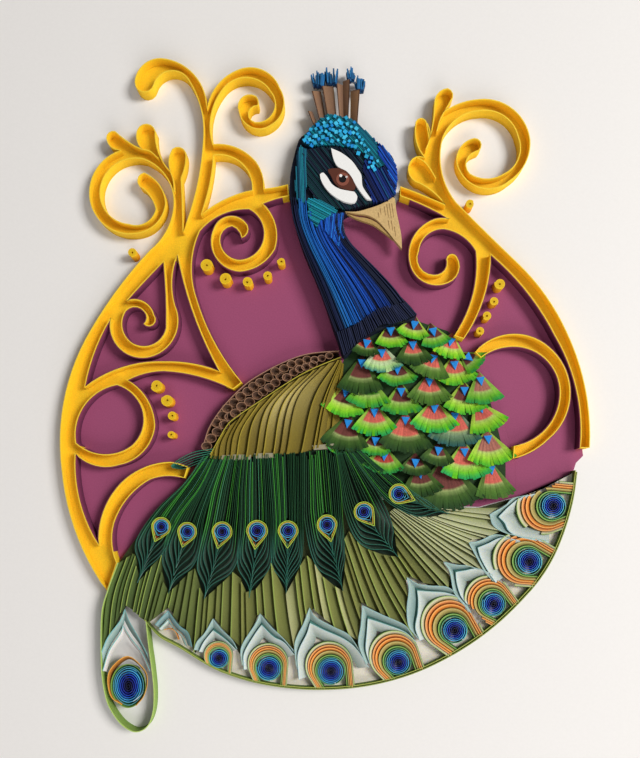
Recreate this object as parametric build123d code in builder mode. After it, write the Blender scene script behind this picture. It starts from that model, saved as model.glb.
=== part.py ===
# Quilled paper peacock in a yellow scroll frame, on a white mount board.
# Strips of paper stand on edge on the board and are glued along their lower edge.
# Lengths are in millimetres, +Z is up, and the origin is the middle of the board's back.

import math
import os

from build123d import *

os.makedirs("parts", exist_ok=True)

# Driving sizes of the paper and of the board
board_width = 297.0
board_length = 420.0
board_thickness = 1.5
card_thickness = 0.3
strip_height = 5.0
strip_thickness = 0.4
paper_gap = 0.3
tight_bend = 8.0
flat_allowance = 0.12
neck_height = 8.0
eye_stand = 0.5
coil_height = 4.6
dot_height = 5.0
scale_thickness = 0.4
scale_tilt = 24.0

# The pattern that the pieces are laid out on, read off the picture in picture steps:
# x runs to the right and y runs down, and one step is pattern_step wide on the board
pattern_step = 0.45
pattern_middle_x = 320.0
pattern_middle_y = 379.0

board_top = board_thickness
ground_top = board_top + card_thickness
rim_top = board_top + strip_height


def place(x, y):
    """A point of the pattern as X and Y on the board."""
    return ((x - pattern_middle_x) * pattern_step, (pattern_middle_y - y) * pattern_step)


def right_of(way):
    """The direction to the right of a direction on the board."""
    return Vector(way.Y, -way.X)


def mirrored(way, chord):
    """The direction at which an arc that starts along a way reaches its chord's far end."""
    return (chord * (2 * chord.dot(way) / chord.dot(chord)) - way).normalized()


def directions(points):
    """The direction of the line through each point, that of the circle through three of them."""
    if len(points) == 2:
        straight = (points[1] - points[0]).normalized()
        return [straight, straight]
    ways = []
    for before, point, after in zip(points, points[1:], points[2:]):
        arriving = point - before
        leaving = after - point
        way = arriving * leaving.dot(leaving) + leaving * arriving.dot(arriving)
        ways.append(way.normalized())
    first = mirrored(ways[0], points[1] - points[0])
    last = mirrored(ways[-1], points[-1] - points[-2])
    return [first] + ways + [last]


def smooth_run(points):
    """A run of points as stations, each a point and the direction of the line there."""
    points = [Vector(*point) for point in points]
    return list(zip(points, directions(points)))


def runs_of(loop):
    """A closed outline as its runs, each from one corner to the next, on the board."""
    runs = []
    for index, run in enumerate(loop):
        corner = loop[(index + 1) % len(loop)][0]
        runs.append(smooth_run([place(*point) for point in run + [corner]]))
    return runs


def short_flats(arc):
    """A tight bend as short flats, none further from the bend than the flat allowance."""
    turn = 2 * math.acos(1 - min(flat_allowance / arc.radius, 0.5))
    count = math.ceil(arc.length / arc.radius / turn)
    points = [arc.position_at(step / count) for step in range(count + 1)]
    return [Edge.make_line(start, end) for start, end in zip(points, points[1:])]


def run_edges(run):
    """A run as arcs, each through three stations, and a last arc or line where two are left."""
    edges = []
    index = 0
    while index + 2 < len(run):
        arc = Edge.make_three_point_arc(run[index][0], run[index + 1][0], run[index + 2][0])
        edges += [arc] if arc.radius > tight_bend else short_flats(arc)
        index += 2
    if index + 1 < len(run):
        start, way = run[index]
        end = run[index + 1][0]
        if abs(way.cross((end - start).normalized()).Z) < 0.01:
            edges.append(Edge.make_line(start, end))
        else:
            edges.append(Edge.make_tangent_arc(start, way, end))
    return edges


def outline_face(level, runs):
    """The face inside a closed outline of smooth runs that meet at corners."""
    edges = []
    for run in runs:
        edges += run_edges(run)
    with BuildSketch(Plane.XY.offset(level)) as sketch:
        make_face(edges)
    return sketch.sketch


def band(level, loop, holes):
    """A raised band of the outline's shape, from a level up to the rims, with its holes."""
    extrude(outline_face(level, runs_of(loop)), amount=rim_top - level)
    for hole in holes:
        extrude(outline_face(level, runs_of(hole)), amount=rim_top - level, mode=Mode.SUBTRACT)


def polygon_face(level, points, grow=0.0):
    """The face inside straight edges between pattern points, grown or shrunk all round."""
    with BuildSketch(Plane.XY.offset(level)) as sketch:
        Polygon(*[place(*point) for point in points], align=None)
        if grow != 0.0:
            offset(amount=grow, kind=Kind.INTERSECTION, mode=Mode.REPLACE)
    return sketch.sketch


def folded_strip(points, thickness):
    """The face of a strip on edge that is folded at each point between its ends."""
    corners = [Vector(*place(*point)) for point in points]
    legs = [(end - start).normalized() for start, end in zip(corners, corners[1:])]
    near = []
    far = []
    for index, corner in enumerate(corners):
        before = legs[max(index - 1, 0)]
        after = legs[min(index, len(legs) - 1)]
        way = (before + after).normalized()
        reach = thickness / 2 / max(way.dot(after), 0.35)
        near.append(corner + right_of(way) * reach)
        far.append(corner - right_of(way) * reach)
    with BuildSketch() as sketch:
        Polygon(*[(point.X, point.Y) for point in near + far[::-1]], align=None)
    return sketch.sketch


def between(first, second, share):
    """The point at a share of the way from one pattern point to another."""
    return tuple(a + (b - a) * share for a, b in zip(first, second))


def fan(lines, steps):
    """Lines spread evenly between each line and the next, with the lines themselves."""
    spread = []
    for line, following in zip(lines, lines[1:]):
        for step in range(steps):
            spread.append([between(a, b, step / steps) for a, b in zip(line, following)])
    spread.append(lines[-1])
    return spread


def stand(face, height, level=board_top):
    """Stands a face up as paper of a height, from a level upwards."""
    extrude(face.moved(Location((0, 0, level))), amount=height)


def stand_rolls(rolls, sides, height, level=board_top):
    """Stands rolls of paper up, each a prism with a few sides about its own middle."""
    for x, y, radius in rolls:
        with BuildSketch() as sketch:
            with Locations(place(x, y)):
                RegularPolygon(radius * pattern_step, sides)
        stand(sketch.sketch, height, level)


def finish(piece, name):
    """Names a finished piece and writes it."""
    piece.part.label = name
    export_step(piece.part, f"parts/{name}.step")


# The left scroll frame: runs between corners, clockwise, so that the paper lies on the right.
# Every second point of a run is the middle of an arc.
left_outline = [
    [(207, 108), (215.5, 87), (237, 70), (261, 69), (280, 88), (283, 111), (270.5, 126), (252, 128),
     (239, 112), (242, 97), (256, 96)],
    [(258, 106), (249, 116), (259, 122), (273, 112), (270.5, 92), (249, 78), (225, 87), (213, 109)],
    [(213, 144), (238, 148), (256, 161.5)],
    [(264, 188.5), (276, 187)],
    [(288, 184)],
    [(289, 196), (276, 199)],
    [(263, 203.6), (274.5, 221), (275, 249), (260, 265), (239.5, 271.6), (216, 258), (214, 228),
     (230, 216), (245, 222), (247.5, 233), (241.6, 238), (238, 230), (232, 226), (223, 231),
     (220, 240.5), (227, 255), (239.5, 260), (257, 252), (264, 236), (260, 219)],
    [(249, 209), (228, 212)],
    [(199.8, 231), (192, 260), (196.4, 298), (216, 345)],
    [(242, 382.5)],
    [(233, 389.5), (201, 377), (163.5, 371), (145, 373.5)],
    [(127.7, 380.2), (148.5, 401.5), (155, 426), (144, 451), (119, 465), (91.5, 464.6)],
    [(75.4, 454), (79.5, 500)],
    [(98.5, 545), (103, 512), (121, 483), (143, 468), (170, 462), (180, 464)],
    [(188, 467)],
    [(184.5, 478.5), (169, 476), (150, 479.5), (127, 499), (114, 523), (112, 543)],
    [(117, 563)],
    [(107, 592), (76, 534), (61.5, 470), (63, 404), (90.5, 330), (116, 291), (150, 250), (168, 227),
     (173.6, 204), (166, 177), (144, 159.5), (117, 163.5), (101, 186), (106, 211), (129, 224),
     (148, 221), (155.6, 209), (150.5, 197), (143, 188.5), (137.5, 178), (144, 172.5), (159, 184),
     (166, 203), (157, 223.5), (135, 234), (104, 225), (89, 192), (98, 166)],
    [(120, 150.3), (110, 146.5), (106, 138.5), (108.5, 132.5), (115, 131), (129, 142)],
    [(141.5, 149), (136.5, 140), (137, 130), (145, 123.7), (155.5, 131), (158, 150)],
    [(170, 171), (168.5, 160), (172, 149), (180, 147), (186.4, 156), (185, 168), (181.5, 178),
     (182.6, 200)],
    [(183, 231), (197, 185), (203, 140), (200, 106), (189, 81), (171, 71), (154, 85), (144, 92.3),
     (134.5, 82), (141.5, 66), (161, 58), (193, 73)],
]
stem_cell = [
    [(201.6, 214), (225, 199)],
    [(252, 190), (239.5, 162)],
    [(214, 155.5), (211, 180)],
]
band_cell = [
    [(110.5, 318.5), (96.5, 347)],
    [(85, 386.5), (121, 367.6), (163.5, 361.5), (192, 363.5)],
    [(219, 371), (195.5, 320)],
    [(177.5, 255), (172, 280), (175, 305.5), (174, 338), (151, 356.7), (121, 350)],
]
curl_cell = [
    [(163.2, 262), (138, 288.5)],
    [(127, 300.4), (144.5, 302), (154, 315), (148.5, 326.5), (143.4, 324), (146.5, 318),
     (144, 311.6), (135, 307), (125.8, 311), (122.5, 329), (132, 343), (152.6, 344.5), (166, 328),
     (166, 303)],
]
loop_cell = [
    [(117, 385), (90, 399)],
    [(76, 443), (105, 454.5), (131.5, 446), (143.5, 422), (135, 397)],
]

# The right scroll frame and the loop beside it
right_outline = [
    [(400, 186), (425.6, 196)],
    [(445, 204.7), (434, 193), (420, 183.5), (408.5, 173), (410, 161.5), (416, 156.5)],
    [(424, 157), (416, 141), (415.5, 125), (421.5, 117.8)],
    [(427, 123)],
    [(429.5, 139), (433, 121), (434.4, 104), (440, 91), (448, 88), (453, 93), (451, 101)],
    [(444.5, 111), (460, 103), (479.5, 99), (514, 109.5), (530.5, 140), (526, 163), (510, 181),
     (482, 188.5), (459, 170), (460, 147.5), (474.4, 138), (481.5, 143), (475.6, 152), (466.5, 162), (470, 173.5),
     (487, 178.5), (504, 173.5), (519, 156), (518, 137), (505, 117), (479.5, 111), (456, 120),
     (443, 138), (441, 165), (456, 202), (487, 233), (519, 264), (546, 295.5), (567, 332), (585, 385)],
    [(590, 448)],
    [(580, 448), (576, 388), (555, 336), (526, 291)],
    [(491, 255), (484.6, 296)],
    [(464, 339)],
    [(454, 336), (474, 290), (476, 251), (463, 236.5), (444.6, 229), (427, 235), (419, 251),
     (422, 270), (434, 275), (444, 271), (447, 262), (451, 254), (457, 257), (459.5, 269), (448, 283),
     (426, 283), (410, 264), (414.5, 235), (435, 219)],
    [(449, 218.8), (431, 209)],
    [(400, 196)],
]
side_loop = [
    [(475, 352), (511.5, 334), (549, 347), (570.5, 391), (549, 439)],
    [(513, 459)],
    [(514, 446), (546, 429), (560, 394), (543, 357), (508, 347)],
    [(481, 358)],
]

# The plum card under each frame
ground_left_edge = [
    (286, 199), (262, 197), (228, 206), (190, 237), (150, 260), (112, 300), (80, 362), (66, 420),
    (66, 460), (82, 530), (111, 578), (115, 556), (143, 515), (180, 482), (200, 452), (207, 421),
    (228, 392.5), (259, 367.5), (295, 350), (333, 342.5), (298, 252), (286.5, 212),
]
ground_right_edge = [
    (399, 194), (440, 209), (470, 228), (528, 286), (566, 352), (584, 420), (588, 455), (574, 469),
    (519, 490), (519, 462), (500, 392), (492, 366), (466, 340), (417, 311), (352, 242), (350, 216),
    (373, 209), (396, 203),
]

# Tail: the edge strips, then the lines that its strips follow, from the coverts outwards
feather_edge = [(117, 567), (103, 606), (101, 645), (104, 690), (117, 719), (134, 731), (151, 717),
                (155, 695), (152, 668), (147, 645), (145, 624)]
tail_edge = [(148, 624), (162, 639), (180, 651.5), (213, 670), (242, 680), (270, 686.5), (300, 690),
             (330, 690.5), (360, 688), (390, 682), (420, 671.5), (449, 657), (475, 641.5), (500, 622),
             (522, 601), (540, 580), (554, 557), (565, 530), (577, 472)]
tail_lines = [
    [(119, 570), (106, 645)],
    [(148, 552), (133, 630)],
    [(165, 558), (151, 614)],
    [(196, 572), (191, 650)],
    [(232, 568), (229, 668)],
    [(266, 568), (274, 680)],
    [(300, 564), (326, 683)],
    [(333, 560), (378, 678)],
    [(350, 538), (420, 662)],
    [(374, 524), (461, 642)],
    [(392, 516), (502, 612)],
    [(400, 512.5), (534, 578)],
]
tail_steps = 4
tail_end_lines = [
    [(406, 513), (544, 561)],
    [(413, 514), (553, 544)],
    [(441, 517), (556, 524)],
    [(457, 515), (540, 506)],
]

# Eye feathers along the tail: coil centre and radius, and the fold lines of the outer chevron
tail_eyes = [
    ((554, 506), 11.5, [(528, 499), (505, 502), (490, 515), (503, 531), (522, 538)]),
    ((530, 562), 12.0, [(506, 540), (486, 539), (469, 543), (480, 566), (496, 584)]),
    ((494, 604.5), 11.5, [(478, 571), (460, 566), (444, 562), (452, 590), (466, 608)]),
    ((455, 631), 12.0, [(450, 595), (430, 586), (407, 578), (407, 618), (419, 645)]),
    ((398.5, 663), 12.0, [(413, 636), (388, 614), (362, 606), (358, 640), (367, 668)]),
    ((330, 672), 12.0, [(353, 650), (332, 622), (310, 608), (296, 638), (298, 672)]),
    ((268.6, 668), 11.5, [(289, 650), (276, 628), (260, 612), (243, 638), (242, 668)]),
    ((218.6, 658), 8.5, [(236, 650), (226, 632), (213, 620), (200, 636), (194, 652)]),
]
spare_chevron = [(190, 646), (181, 628), (168, 611), (160, 618), (152, 624)]
feather_eye = (128.4, 685.5)
feather_eye_radius = 15.5
feather_chevron = [(147, 661), (139, 636), (125, 611), (112, 634), (104, 656)]
arc_gap = 3.5
arc_turns = [-95, -57, -19, 19, 57, 95]

# Coverts: each feather's outline from its foot round its tip, and its eye
coverts = [
    ([(203, 460), (183, 485), (150, 517), (137, 545), (137, 583), (163, 556), (173, 522), (213, 460)],
     (161, 527)),
    ([(215, 460), (175, 522), (165, 557), (168, 594), (196, 563), (204, 524), (224, 460)], (187, 532)),
    ([(226, 460), (206, 524), (198, 563), (204, 599), (236, 566), (240, 524), (244, 459)], (222, 532)),
    ([(246, 459), (242, 524), (238, 566), (249, 599), (270, 566), (272, 524), (268, 458)], (257, 531)),
    ([(270, 458), (274, 524), (272, 566), (286, 594), (301, 562), (304, 524), (303, 456)], (288, 531)),
    ([(305, 456), (306, 524), (313, 560), (343, 591), (345, 555), (343, 518), (335, 453)], (327, 524)),
    ([(337, 453), (345, 516), (358, 542), (398, 557), (392, 520), (378, 494), (345, 452)], (364, 512)),
    ([(346, 451), (380, 493), (394, 509), (449, 514), (413, 490), (397, 479), (360, 452)], (397, 495)),
]
covert_eye_radius = 7.0
covert_spacing = 3.0
roll_sides = 12
dot_sides = 10
eye_sides = 14

# Wing: the two rows of loose coils, and the strips below them
coil_rows = [
    ([(209.5, 443), (244.5, 393.5), (330, 358)], 17),
    ([(219, 444), (252, 401.5), (318, 368)], 15),
]
wing_edge = [(203, 444), (208, 428), (218, 411), (232, 395), (250, 379), (274, 365), (301, 355), (333, 350.5)]
wing_lines = [
    [(226, 449), (222, 459)],
    [(240, 433), (231, 458)],
    [(262, 415), (245, 456.5)],
    [(284, 396), (262, 454)],
    [(306, 384), (286, 452)],
    [(326, 374), (303, 451)],
    [(340, 366), (320, 446)],
]
wing_steps = 4

# Breast: foot of each paper fan, its width and length in pattern steps, and its turn
fan_length = 25.0
fan_foot = 9.0
fans = [
    (414, 322, 27, -6), (438, 328, 24, 12), (391, 331, 25, -4), (459, 344, 26, 24), (367, 343, 25, -12),
    (412, 340, 27, 0), (436, 350, 24, 10), (388.5, 348, 22, -5), (476, 364, 26, 34), (363, 361, 26, -8),
    (455, 368, 25, 16), (410, 364, 26, 0), (432, 375, 24, 6), (386, 371, 24, -4), (486, 390, 26, 30),
    (350, 381, 22, -10), (464, 393, 25, 14), (372, 388, 22, -4), (409, 389, 26, 0), (438, 401, 26, 6),
    (348, 404, 26, -8), (383, 397, 22, -2), (492, 415, 25, 22), (464, 417, 25, 8), (376, 411, 25, -2),
    (412, 413, 26, 2), (348, 427, 26, -4), (438, 424, 22, 4), (489, 440, 27, 12), (463, 442, 24, 4),
    (384, 430, 24, 0), (414, 438, 26, 0), (440, 449, 22, 0), (492, 464, 27, 6), (463, 467, 24, 0),
    (441, 470, 22, 0), (414, 453, 20, -2),
]
breast_edge = [
    (402, 323), (416, 319), (438, 327), (462, 347), (484, 374), (494, 402), (502, 431), (509, 462),
    (509, 488), (478, 500), (446, 500), (419, 485), (400, 469), (362, 446), (330, 441), (330, 420),
    (338, 400), (346, 373), (358, 354),
]

# Neck and head
neck_left = [(292, 199), (303, 247), (317, 287), (334, 330)]
neck_right = [(343, 216), (345, 250), (362, 278), (387, 307)]
neck_strip_count = 12
slate_left = [(348, 252), (368, 279), (392, 308)]
slate_right = [(351, 249), (379, 278), (407, 307)]
slate_strip_count = 3
hem_top = [(337, 334), (364, 322), (391, 309)]
hem_bottom = [(343, 351), (368, 331), (393, 320)]
hem_end = [(411, 309), (412, 315)]
hem_strips = 6
crown_lines = [
    [(300, 148), (312, 178)],
    [(305, 136), (321, 168)],
    [(313, 127), (329, 158)],
    [(325, 119), (335, 150)],
    [(340, 120), (345, 156)],
    [(355, 126), (354, 166)],
    [(368, 137), (363, 178)],
    [(381, 150), (369, 192)],
    [(393, 166), (378, 201)],
    [(396, 184), (388, 200)],
]
crown_steps = 3
nape_lines = [
    [(294, 160), (291.5, 197)],
    [(302, 162), (306, 200)],
    [(310, 186), (318, 204)],
    [(319, 195), (331, 208)],
    [(332, 202), (343, 210)],
]
nape_steps = 2
upper_patch = [(332, 155), (345, 160), (357, 172), (363, 189), (371, 203), (357, 193), (348, 178), (337, 169)]
lower_patch = [(320, 179), (326, 180), (333, 190), (346, 195), (356, 198), (354, 206), (340, 204), (327, 194)]
eye_middle = (342, 184)
eye_radius = 7.5
upper_beak = [(345, 213), (371, 206), (389, 202), (394, 204), (401, 236), (401, 249), (386, 224), (370, 215)]
lower_beak = [(347, 216), (369, 217.5), (384, 226), (394, 240), (383, 232), (366, 224)]
crest_lines = [
    [(312, 91), (319, 120)],
    [(322, 86), (327.4, 115)],
    [(336.7, 83), (339.4, 116)],
    [(349.7, 79), (348, 117)],
    [(359.6, 89), (357, 122)],
]
tuft_length = 18.0
tuft_width = 12.0

dots = [
    (206.5, 265.4, 6.3), (225.4, 279, 6.0), (247.4, 282, 5.2), (267.5, 276, 4.6), (281.2, 261.6, 4.2),
    (156.5, 386, 6.0), (167, 400.5, 6.0), (172, 416, 4.5), (171, 435, 4.0), (500, 284, 5.5),
    (494, 301.5, 4.5), (487, 315.7, 4.6), (480, 331, 4.3),
]
sheet_dots = [(132, 252.5, 4.7), (470, 204, 4.5)]

with BuildPart() as mount_board:
    with BuildSketch():
        Rectangle(board_width, board_length)
    extrude(amount=board_thickness)
finish(mount_board, "mount_board")

with BuildPart() as ground_card_left:
    stand(polygon_face(0, ground_left_edge), card_thickness)
finish(ground_card_left, "ground_card_left")

with BuildPart() as ground_card_right:
    stand(polygon_face(0, ground_right_edge), card_thickness)
finish(ground_card_right, "ground_card_right")

with BuildPart() as scroll_frame:
    band(ground_top, left_outline, [stem_cell, band_cell, curl_cell, loop_cell])
    band(ground_top, right_outline, [])
    band(ground_top, side_loop, [])
finish(scroll_frame, "scroll_frame")

with BuildPart() as rolled_dots:
    stand_rolls(dots, dot_sides, dot_height, ground_top)
    stand_rolls(sheet_dots, dot_sides, dot_height)
finish(rolled_dots, "rolled_dots")

with BuildPart() as tail_edge_strips:
    stand(folded_strip(feather_edge, strip_thickness), strip_height)
    stand(folded_strip(tail_edge, strip_thickness), strip_height)
finish(tail_edge_strips, "tail_edge_strips")

chevron_lines = [lines for _, _, lines in tail_eyes] + [spare_chevron, feather_chevron]

with BuildPart() as tail_strips:
    with BuildSketch() as strips:
        for start, end in fan(tail_lines, tail_steps) + tail_end_lines:
            add(folded_strip([start, end], strip_thickness))
        for edge, _ in coverts:
            add(polygon_face(0, edge, paper_gap / 2), mode=Mode.SUBTRACT)
        for middle, _, lines in tail_eyes:
            beyond = [between(lines[0], middle, 1.9), between(lines[-1], middle, 1.9)]
            add(polygon_face(0, lines + beyond, strip_thickness + paper_gap), mode=Mode.SUBTRACT)
        for lines in (spare_chevron, feather_chevron):
            add(polygon_face(0, lines, strip_thickness + paper_gap), mode=Mode.SUBTRACT)
    whole = [face for face in strips.sketch.faces() if face.area > 8 * strip_thickness]
    for face in whole:
        stand(face, strip_height)
finish(tail_strips, "tail_strips")

with BuildPart() as tail_chevrons:
    for lines in chevron_lines:
        stand(folded_strip(lines, strip_thickness), strip_height)
finish(tail_chevrons, "tail_chevrons")

with BuildPart() as eye_coils:
    stand_rolls([(*middle, radius) for middle, radius, _ in tail_eyes], eye_sides, coil_height)
    stand_rolls([(*feather_eye, feather_eye_radius)], eye_sides, coil_height)
    stand_rolls([(*middle, covert_eye_radius) for _, middle in coverts], roll_sides, coil_height)
finish(eye_coils, "eye_coils")

with BuildPart() as eye_arcs:
    for middle, radius, lines in tail_eyes:
        toward = math.atan2(lines[2][1] - middle[1], lines[2][0] - middle[0])
        points = []
        for turn in arc_turns:
            angle = toward + math.radians(turn)
            reach = radius + arc_gap
            points.append((middle[0] + reach * math.cos(angle), middle[1] + reach * math.sin(angle)))
        stand(folded_strip(points, strip_thickness), strip_height)
finish(eye_arcs, "eye_arcs")

with BuildPart() as covert_edges:
    for edge, _ in coverts:
        with BuildSketch(Plane.XY.offset(board_top)):
            add(polygon_face(0, edge, -paper_gap / 2))
            add(polygon_face(0, edge, -paper_gap / 2 - strip_thickness), mode=Mode.SUBTRACT)
        extrude(amount=strip_height)
finish(covert_edges, "covert_edges")

with BuildPart() as covert_strips:
    for edge, middle in coverts:
        foot = between(edge[0], edge[-1], 0.5)
        reach = math.dist(foot, middle)
        aside = ((foot[1] - middle[1]) / reach, (middle[0] - foot[0]) / reach)
        for side in (-covert_spacing, 0.0, covert_spacing):
            ends = [between(middle, foot, 0.7), between(middle, foot, 0.2)]
            shifted = [(x + aside[0] * side, y + aside[1] * side) for x, y in ends]
            stand(folded_strip(shifted, strip_thickness), strip_height)
finish(covert_strips, "covert_strips")

with BuildPart() as wing_coils:
    for points, count in coil_rows:
        line = Edge.make_three_point_arc(*[place(*point) for point in points])
        across = (line.length / (count - 1) - paper_gap) / 2
        with BuildSketch(Plane.XY.offset(board_top)):
            with Locations([line.position_at(index / (count - 1)) for index in range(count)]):
                RegularPolygon(across, 8)
        extrude(amount=strip_height)
finish(wing_coils, "wing_coils")

with BuildPart() as wing_strips:
    for start, end in fan(wing_lines, wing_steps):
        stand(folded_strip([start, end], strip_thickness), strip_height)
finish(wing_strips, "wing_strips")

with BuildPart() as wing_edge_strip:
    stand(folded_strip(wing_edge, strip_thickness), strip_height)
finish(wing_edge_strip, "wing_edge_strip")

with BuildPart() as breast_card:
    stand(polygon_face(0, breast_edge), card_thickness)
finish(breast_card, "breast_card")

with BuildPart() as breast_fans:
    for x, y, width, turn in fans:
        foot = place(x, y)
        length = fan_length * pattern_step
        half_foot = fan_foot / 2 * pattern_step
        half_width = width / 2 * pattern_step
        across = (math.cos(math.radians(turn)), math.sin(math.radians(turn)))
        rise = math.sin(math.radians(scale_tilt))
        up = (-across[1] * rise, across[0] * rise, math.cos(math.radians(scale_tilt)))
        with BuildSketch(Plane(origin=(*foot, ground_top), x_dir=(*across, 0), z_dir=up)):
            Polygon((-half_foot, 0), (half_foot, 0), (half_width, -length), (-half_width, -length), align=None)
        extrude(amount=scale_thickness)
finish(breast_fans, "breast_fans")

with BuildPart() as neck_strips:
    for index in range(neck_strip_count):
        share = index / (neck_strip_count - 1)
        points = [between(left, right, share) for left, right in zip(neck_left, neck_right)]
        stand(folded_strip(points, strip_thickness), neck_height)
    for index in range(slate_strip_count):
        share = index / (slate_strip_count - 1)
        points = [between(left, right, share) for left, right in zip(slate_left, slate_right)]
        stand(folded_strip(points, strip_thickness), neck_height)
finish(neck_strips, "neck_strips")

with BuildPart() as neck_hem:
    rows = [[top, bottom] for top, bottom in zip(hem_top, hem_bottom)] + [hem_end]
    for start, end in fan(rows, hem_strips):
        stand(folded_strip([start, end], strip_thickness), neck_height)
finish(neck_hem, "neck_hem")

with BuildPart() as head_strips:
    for start, end in fan(crown_lines, crown_steps) + fan(nape_lines, nape_steps):
        stand(folded_strip([start, end], strip_thickness), neck_height)
finish(head_strips, "head_strips")

with BuildPart() as eye_patches:
    stand(polygon_face(0, upper_patch), neck_height)
    stand(polygon_face(0, lower_patch), neck_height)
finish(eye_patches, "eye_patches")

with BuildPart() as eye:
    stand_rolls([(*eye_middle, eye_radius)], eye_sides, neck_height + eye_stand)
finish(eye, "eye")

with BuildPart() as beak:
    stand(polygon_face(0, upper_beak), strip_height, ground_top)
    stand(polygon_face(0, lower_beak), strip_height, ground_top)
finish(beak, "beak")

with BuildPart() as crest_stems:
    for stem in crest_lines:
        stand(folded_strip(stem, strip_thickness), strip_height)
finish(crest_stems, "crest_stems")

with BuildPart() as crest_tufts:
    for top, bottom in crest_lines:
        middle = Vector(*place(*top))
        way = (middle - Vector(*place(*bottom))).normalized()
        start = middle + way * paper_gap
        end = middle + way * tuft_length * pattern_step
        aside = right_of(way) * tuft_width / 2 * pattern_step
        points = [start - aside * 0.3, end - aside, end + aside, start + aside * 0.3]
        with BuildSketch(Plane.XY.offset(board_top)):
            Polygon(*[(point.X, point.Y) for point in points], align=None)
        extrude(amount=strip_height)
finish(crest_tufts, "crest_tufts")
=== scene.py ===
# %% [markdown]
# # A quilled paper peacock
# Quilling is paper craft: narrow strips of coloured paper are rolled, bent and stood on edge on a sheet,
# and what one sees is their thin upper rims and, at a slant, their walls. So nearly all of this object is
# one shape, a strip on edge that follows a path, repeated with other paths, leans and colours. The script
# makes that shape once as an array formula and then lays out the scrolls, the tail, the wing, the breast,
# the neck and the head with it.

import math

import bpy
import numpy as np
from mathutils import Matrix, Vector


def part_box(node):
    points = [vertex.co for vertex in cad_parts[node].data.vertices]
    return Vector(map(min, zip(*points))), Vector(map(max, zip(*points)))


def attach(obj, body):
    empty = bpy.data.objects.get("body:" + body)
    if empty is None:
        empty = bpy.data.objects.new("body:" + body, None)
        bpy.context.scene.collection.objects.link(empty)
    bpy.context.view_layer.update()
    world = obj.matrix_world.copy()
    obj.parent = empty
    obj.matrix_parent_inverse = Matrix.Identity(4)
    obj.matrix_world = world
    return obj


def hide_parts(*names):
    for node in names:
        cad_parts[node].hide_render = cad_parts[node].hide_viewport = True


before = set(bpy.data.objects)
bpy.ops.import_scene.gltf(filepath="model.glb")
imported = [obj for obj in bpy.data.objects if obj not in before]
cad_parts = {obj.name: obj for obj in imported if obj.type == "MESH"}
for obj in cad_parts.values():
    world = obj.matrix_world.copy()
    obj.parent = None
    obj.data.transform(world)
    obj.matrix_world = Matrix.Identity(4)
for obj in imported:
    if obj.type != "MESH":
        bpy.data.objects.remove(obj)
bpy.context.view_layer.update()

# %% [markdown]
# ## Measures
# The pattern is read off the photograph in photo pixels, x to the right and y down, and one pixel is
# 0.45 mm on the plane of the rims. Heights are in millimetres above the table. Both are turned into
# metres at the last moment, where the vertices are made. The levels come from the CAD model, so the
# finer pieces reach up to its rims. Upright strips stand on its sheet or card, but most leaning ones end
# 1 to 2 mm below their rims, short of the paper under them, which the real ones would stand on.

# %% Measures of the paper
mm = 0.001
pixel = 0.45
middle_x = 320.0
middle_y = 379.0
board_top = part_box("mount_board")[1].z / mm
ground_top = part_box("ground_card_left")[1].z / mm
rim_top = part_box("scroll_frame")[1].z / mm
neck_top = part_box("neck_strips")[1].z / mm
thin = 0.02
edge_band = 0.15
wall_reach = 0.92
random = np.random.default_rng(11)
print("levels in mm: board", round(board_top, 2), "ground", round(ground_top, 2), "rims", round(rim_top, 2))


def linear(code):
    """The linear colour of an sRGB hex code: each part c becomes ((c + 0.055) / 1.055) ** 2.4."""
    parts = np.array([int(code[i : i + 2], 16) / 255 for i in (1, 3, 5)])
    return np.where(parts <= 0.04045, parts / 12.92, ((parts + 0.055) / 1.055) ** 2.4)


# %% [markdown]
# ## Paths
# A strip follows a smooth path through a few points read off the picture. A Catmull-Rom curve passes
# through all its points and needs no handles, so it suits points that were read off.


# %% Smooth paths
def curve(points, spacing=2.0, closed=False):
    """A smooth path through points, with even spacing in pixels.

    Between points b and c, with neighbours a and d, it is the Catmull-Rom blend
    (2b + (c - a)t + (2a - 5b + 4c - d)t^2 + (3b - a - 3c + d)t^3) / 2.
    """
    p = np.asarray(points, float)
    if len(p) == 2:
        p = np.array([p[0], (p[0] + p[1]) / 2, p[1]])
    if closed:
        p = np.vstack([p[-1:], p, p[:2]])
    else:
        p = np.vstack([2 * p[0] - p[1], p, 2 * p[-1] - p[-2]])
    a, b, c, d = (p[i : len(p) - 3 + i, None, :] for i in range(4))
    t = np.linspace(0, 1, 12, endpoint=False)[None, :, None]
    bend = (2 * b + (c - a) * t + (2 * a - 5 * b + 4 * c - d) * t**2 + (3 * b - a - 3 * c + d) * t**3) / 2
    fine = np.vstack([bend.reshape(-1, 2), p[-2]])
    run = np.r_[0, np.cumsum(np.hypot(*np.diff(fine, axis=0).T))]
    count = max(3, int(run[-1] / spacing) + 1)
    steps = np.linspace(0, run[-1], count + (1 if closed else 0))
    path = np.stack([np.interp(steps, run, fine[:, k]) for k in (0, 1)], 1)
    return path[:-1] if closed else path


def arc(centre, radius, start, end, spacing=2.0):
    """Part of a circle in pixels, angles in degrees, clockwise from +x as the picture is seen."""
    turn = np.radians(np.linspace(start, end, max(4, int(abs(end - start) / 57.3 * radius / spacing) + 2)))
    return np.stack([centre[0] + radius * np.cos(turn), centre[1] + radius * np.sin(turn)], 1)


def spiral(centre, inner, outer, turns, start=0.0, squash=(1.0, 1.0), spacing=1.6):
    """A coil seen from above: the radius grows evenly with the angle."""
    length = math.pi * (inner + outer) * turns
    share = np.linspace(0, 1, max(10, int(length / spacing)))
    turn = math.radians(start) + 2 * math.pi * turns * share
    radius = inner + (outer - inner) * share
    x = centre[0] + squash[0] * radius * np.cos(turn)
    return np.stack([x, centre[1] + squash[1] * radius * np.sin(turn)], 1)


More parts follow.
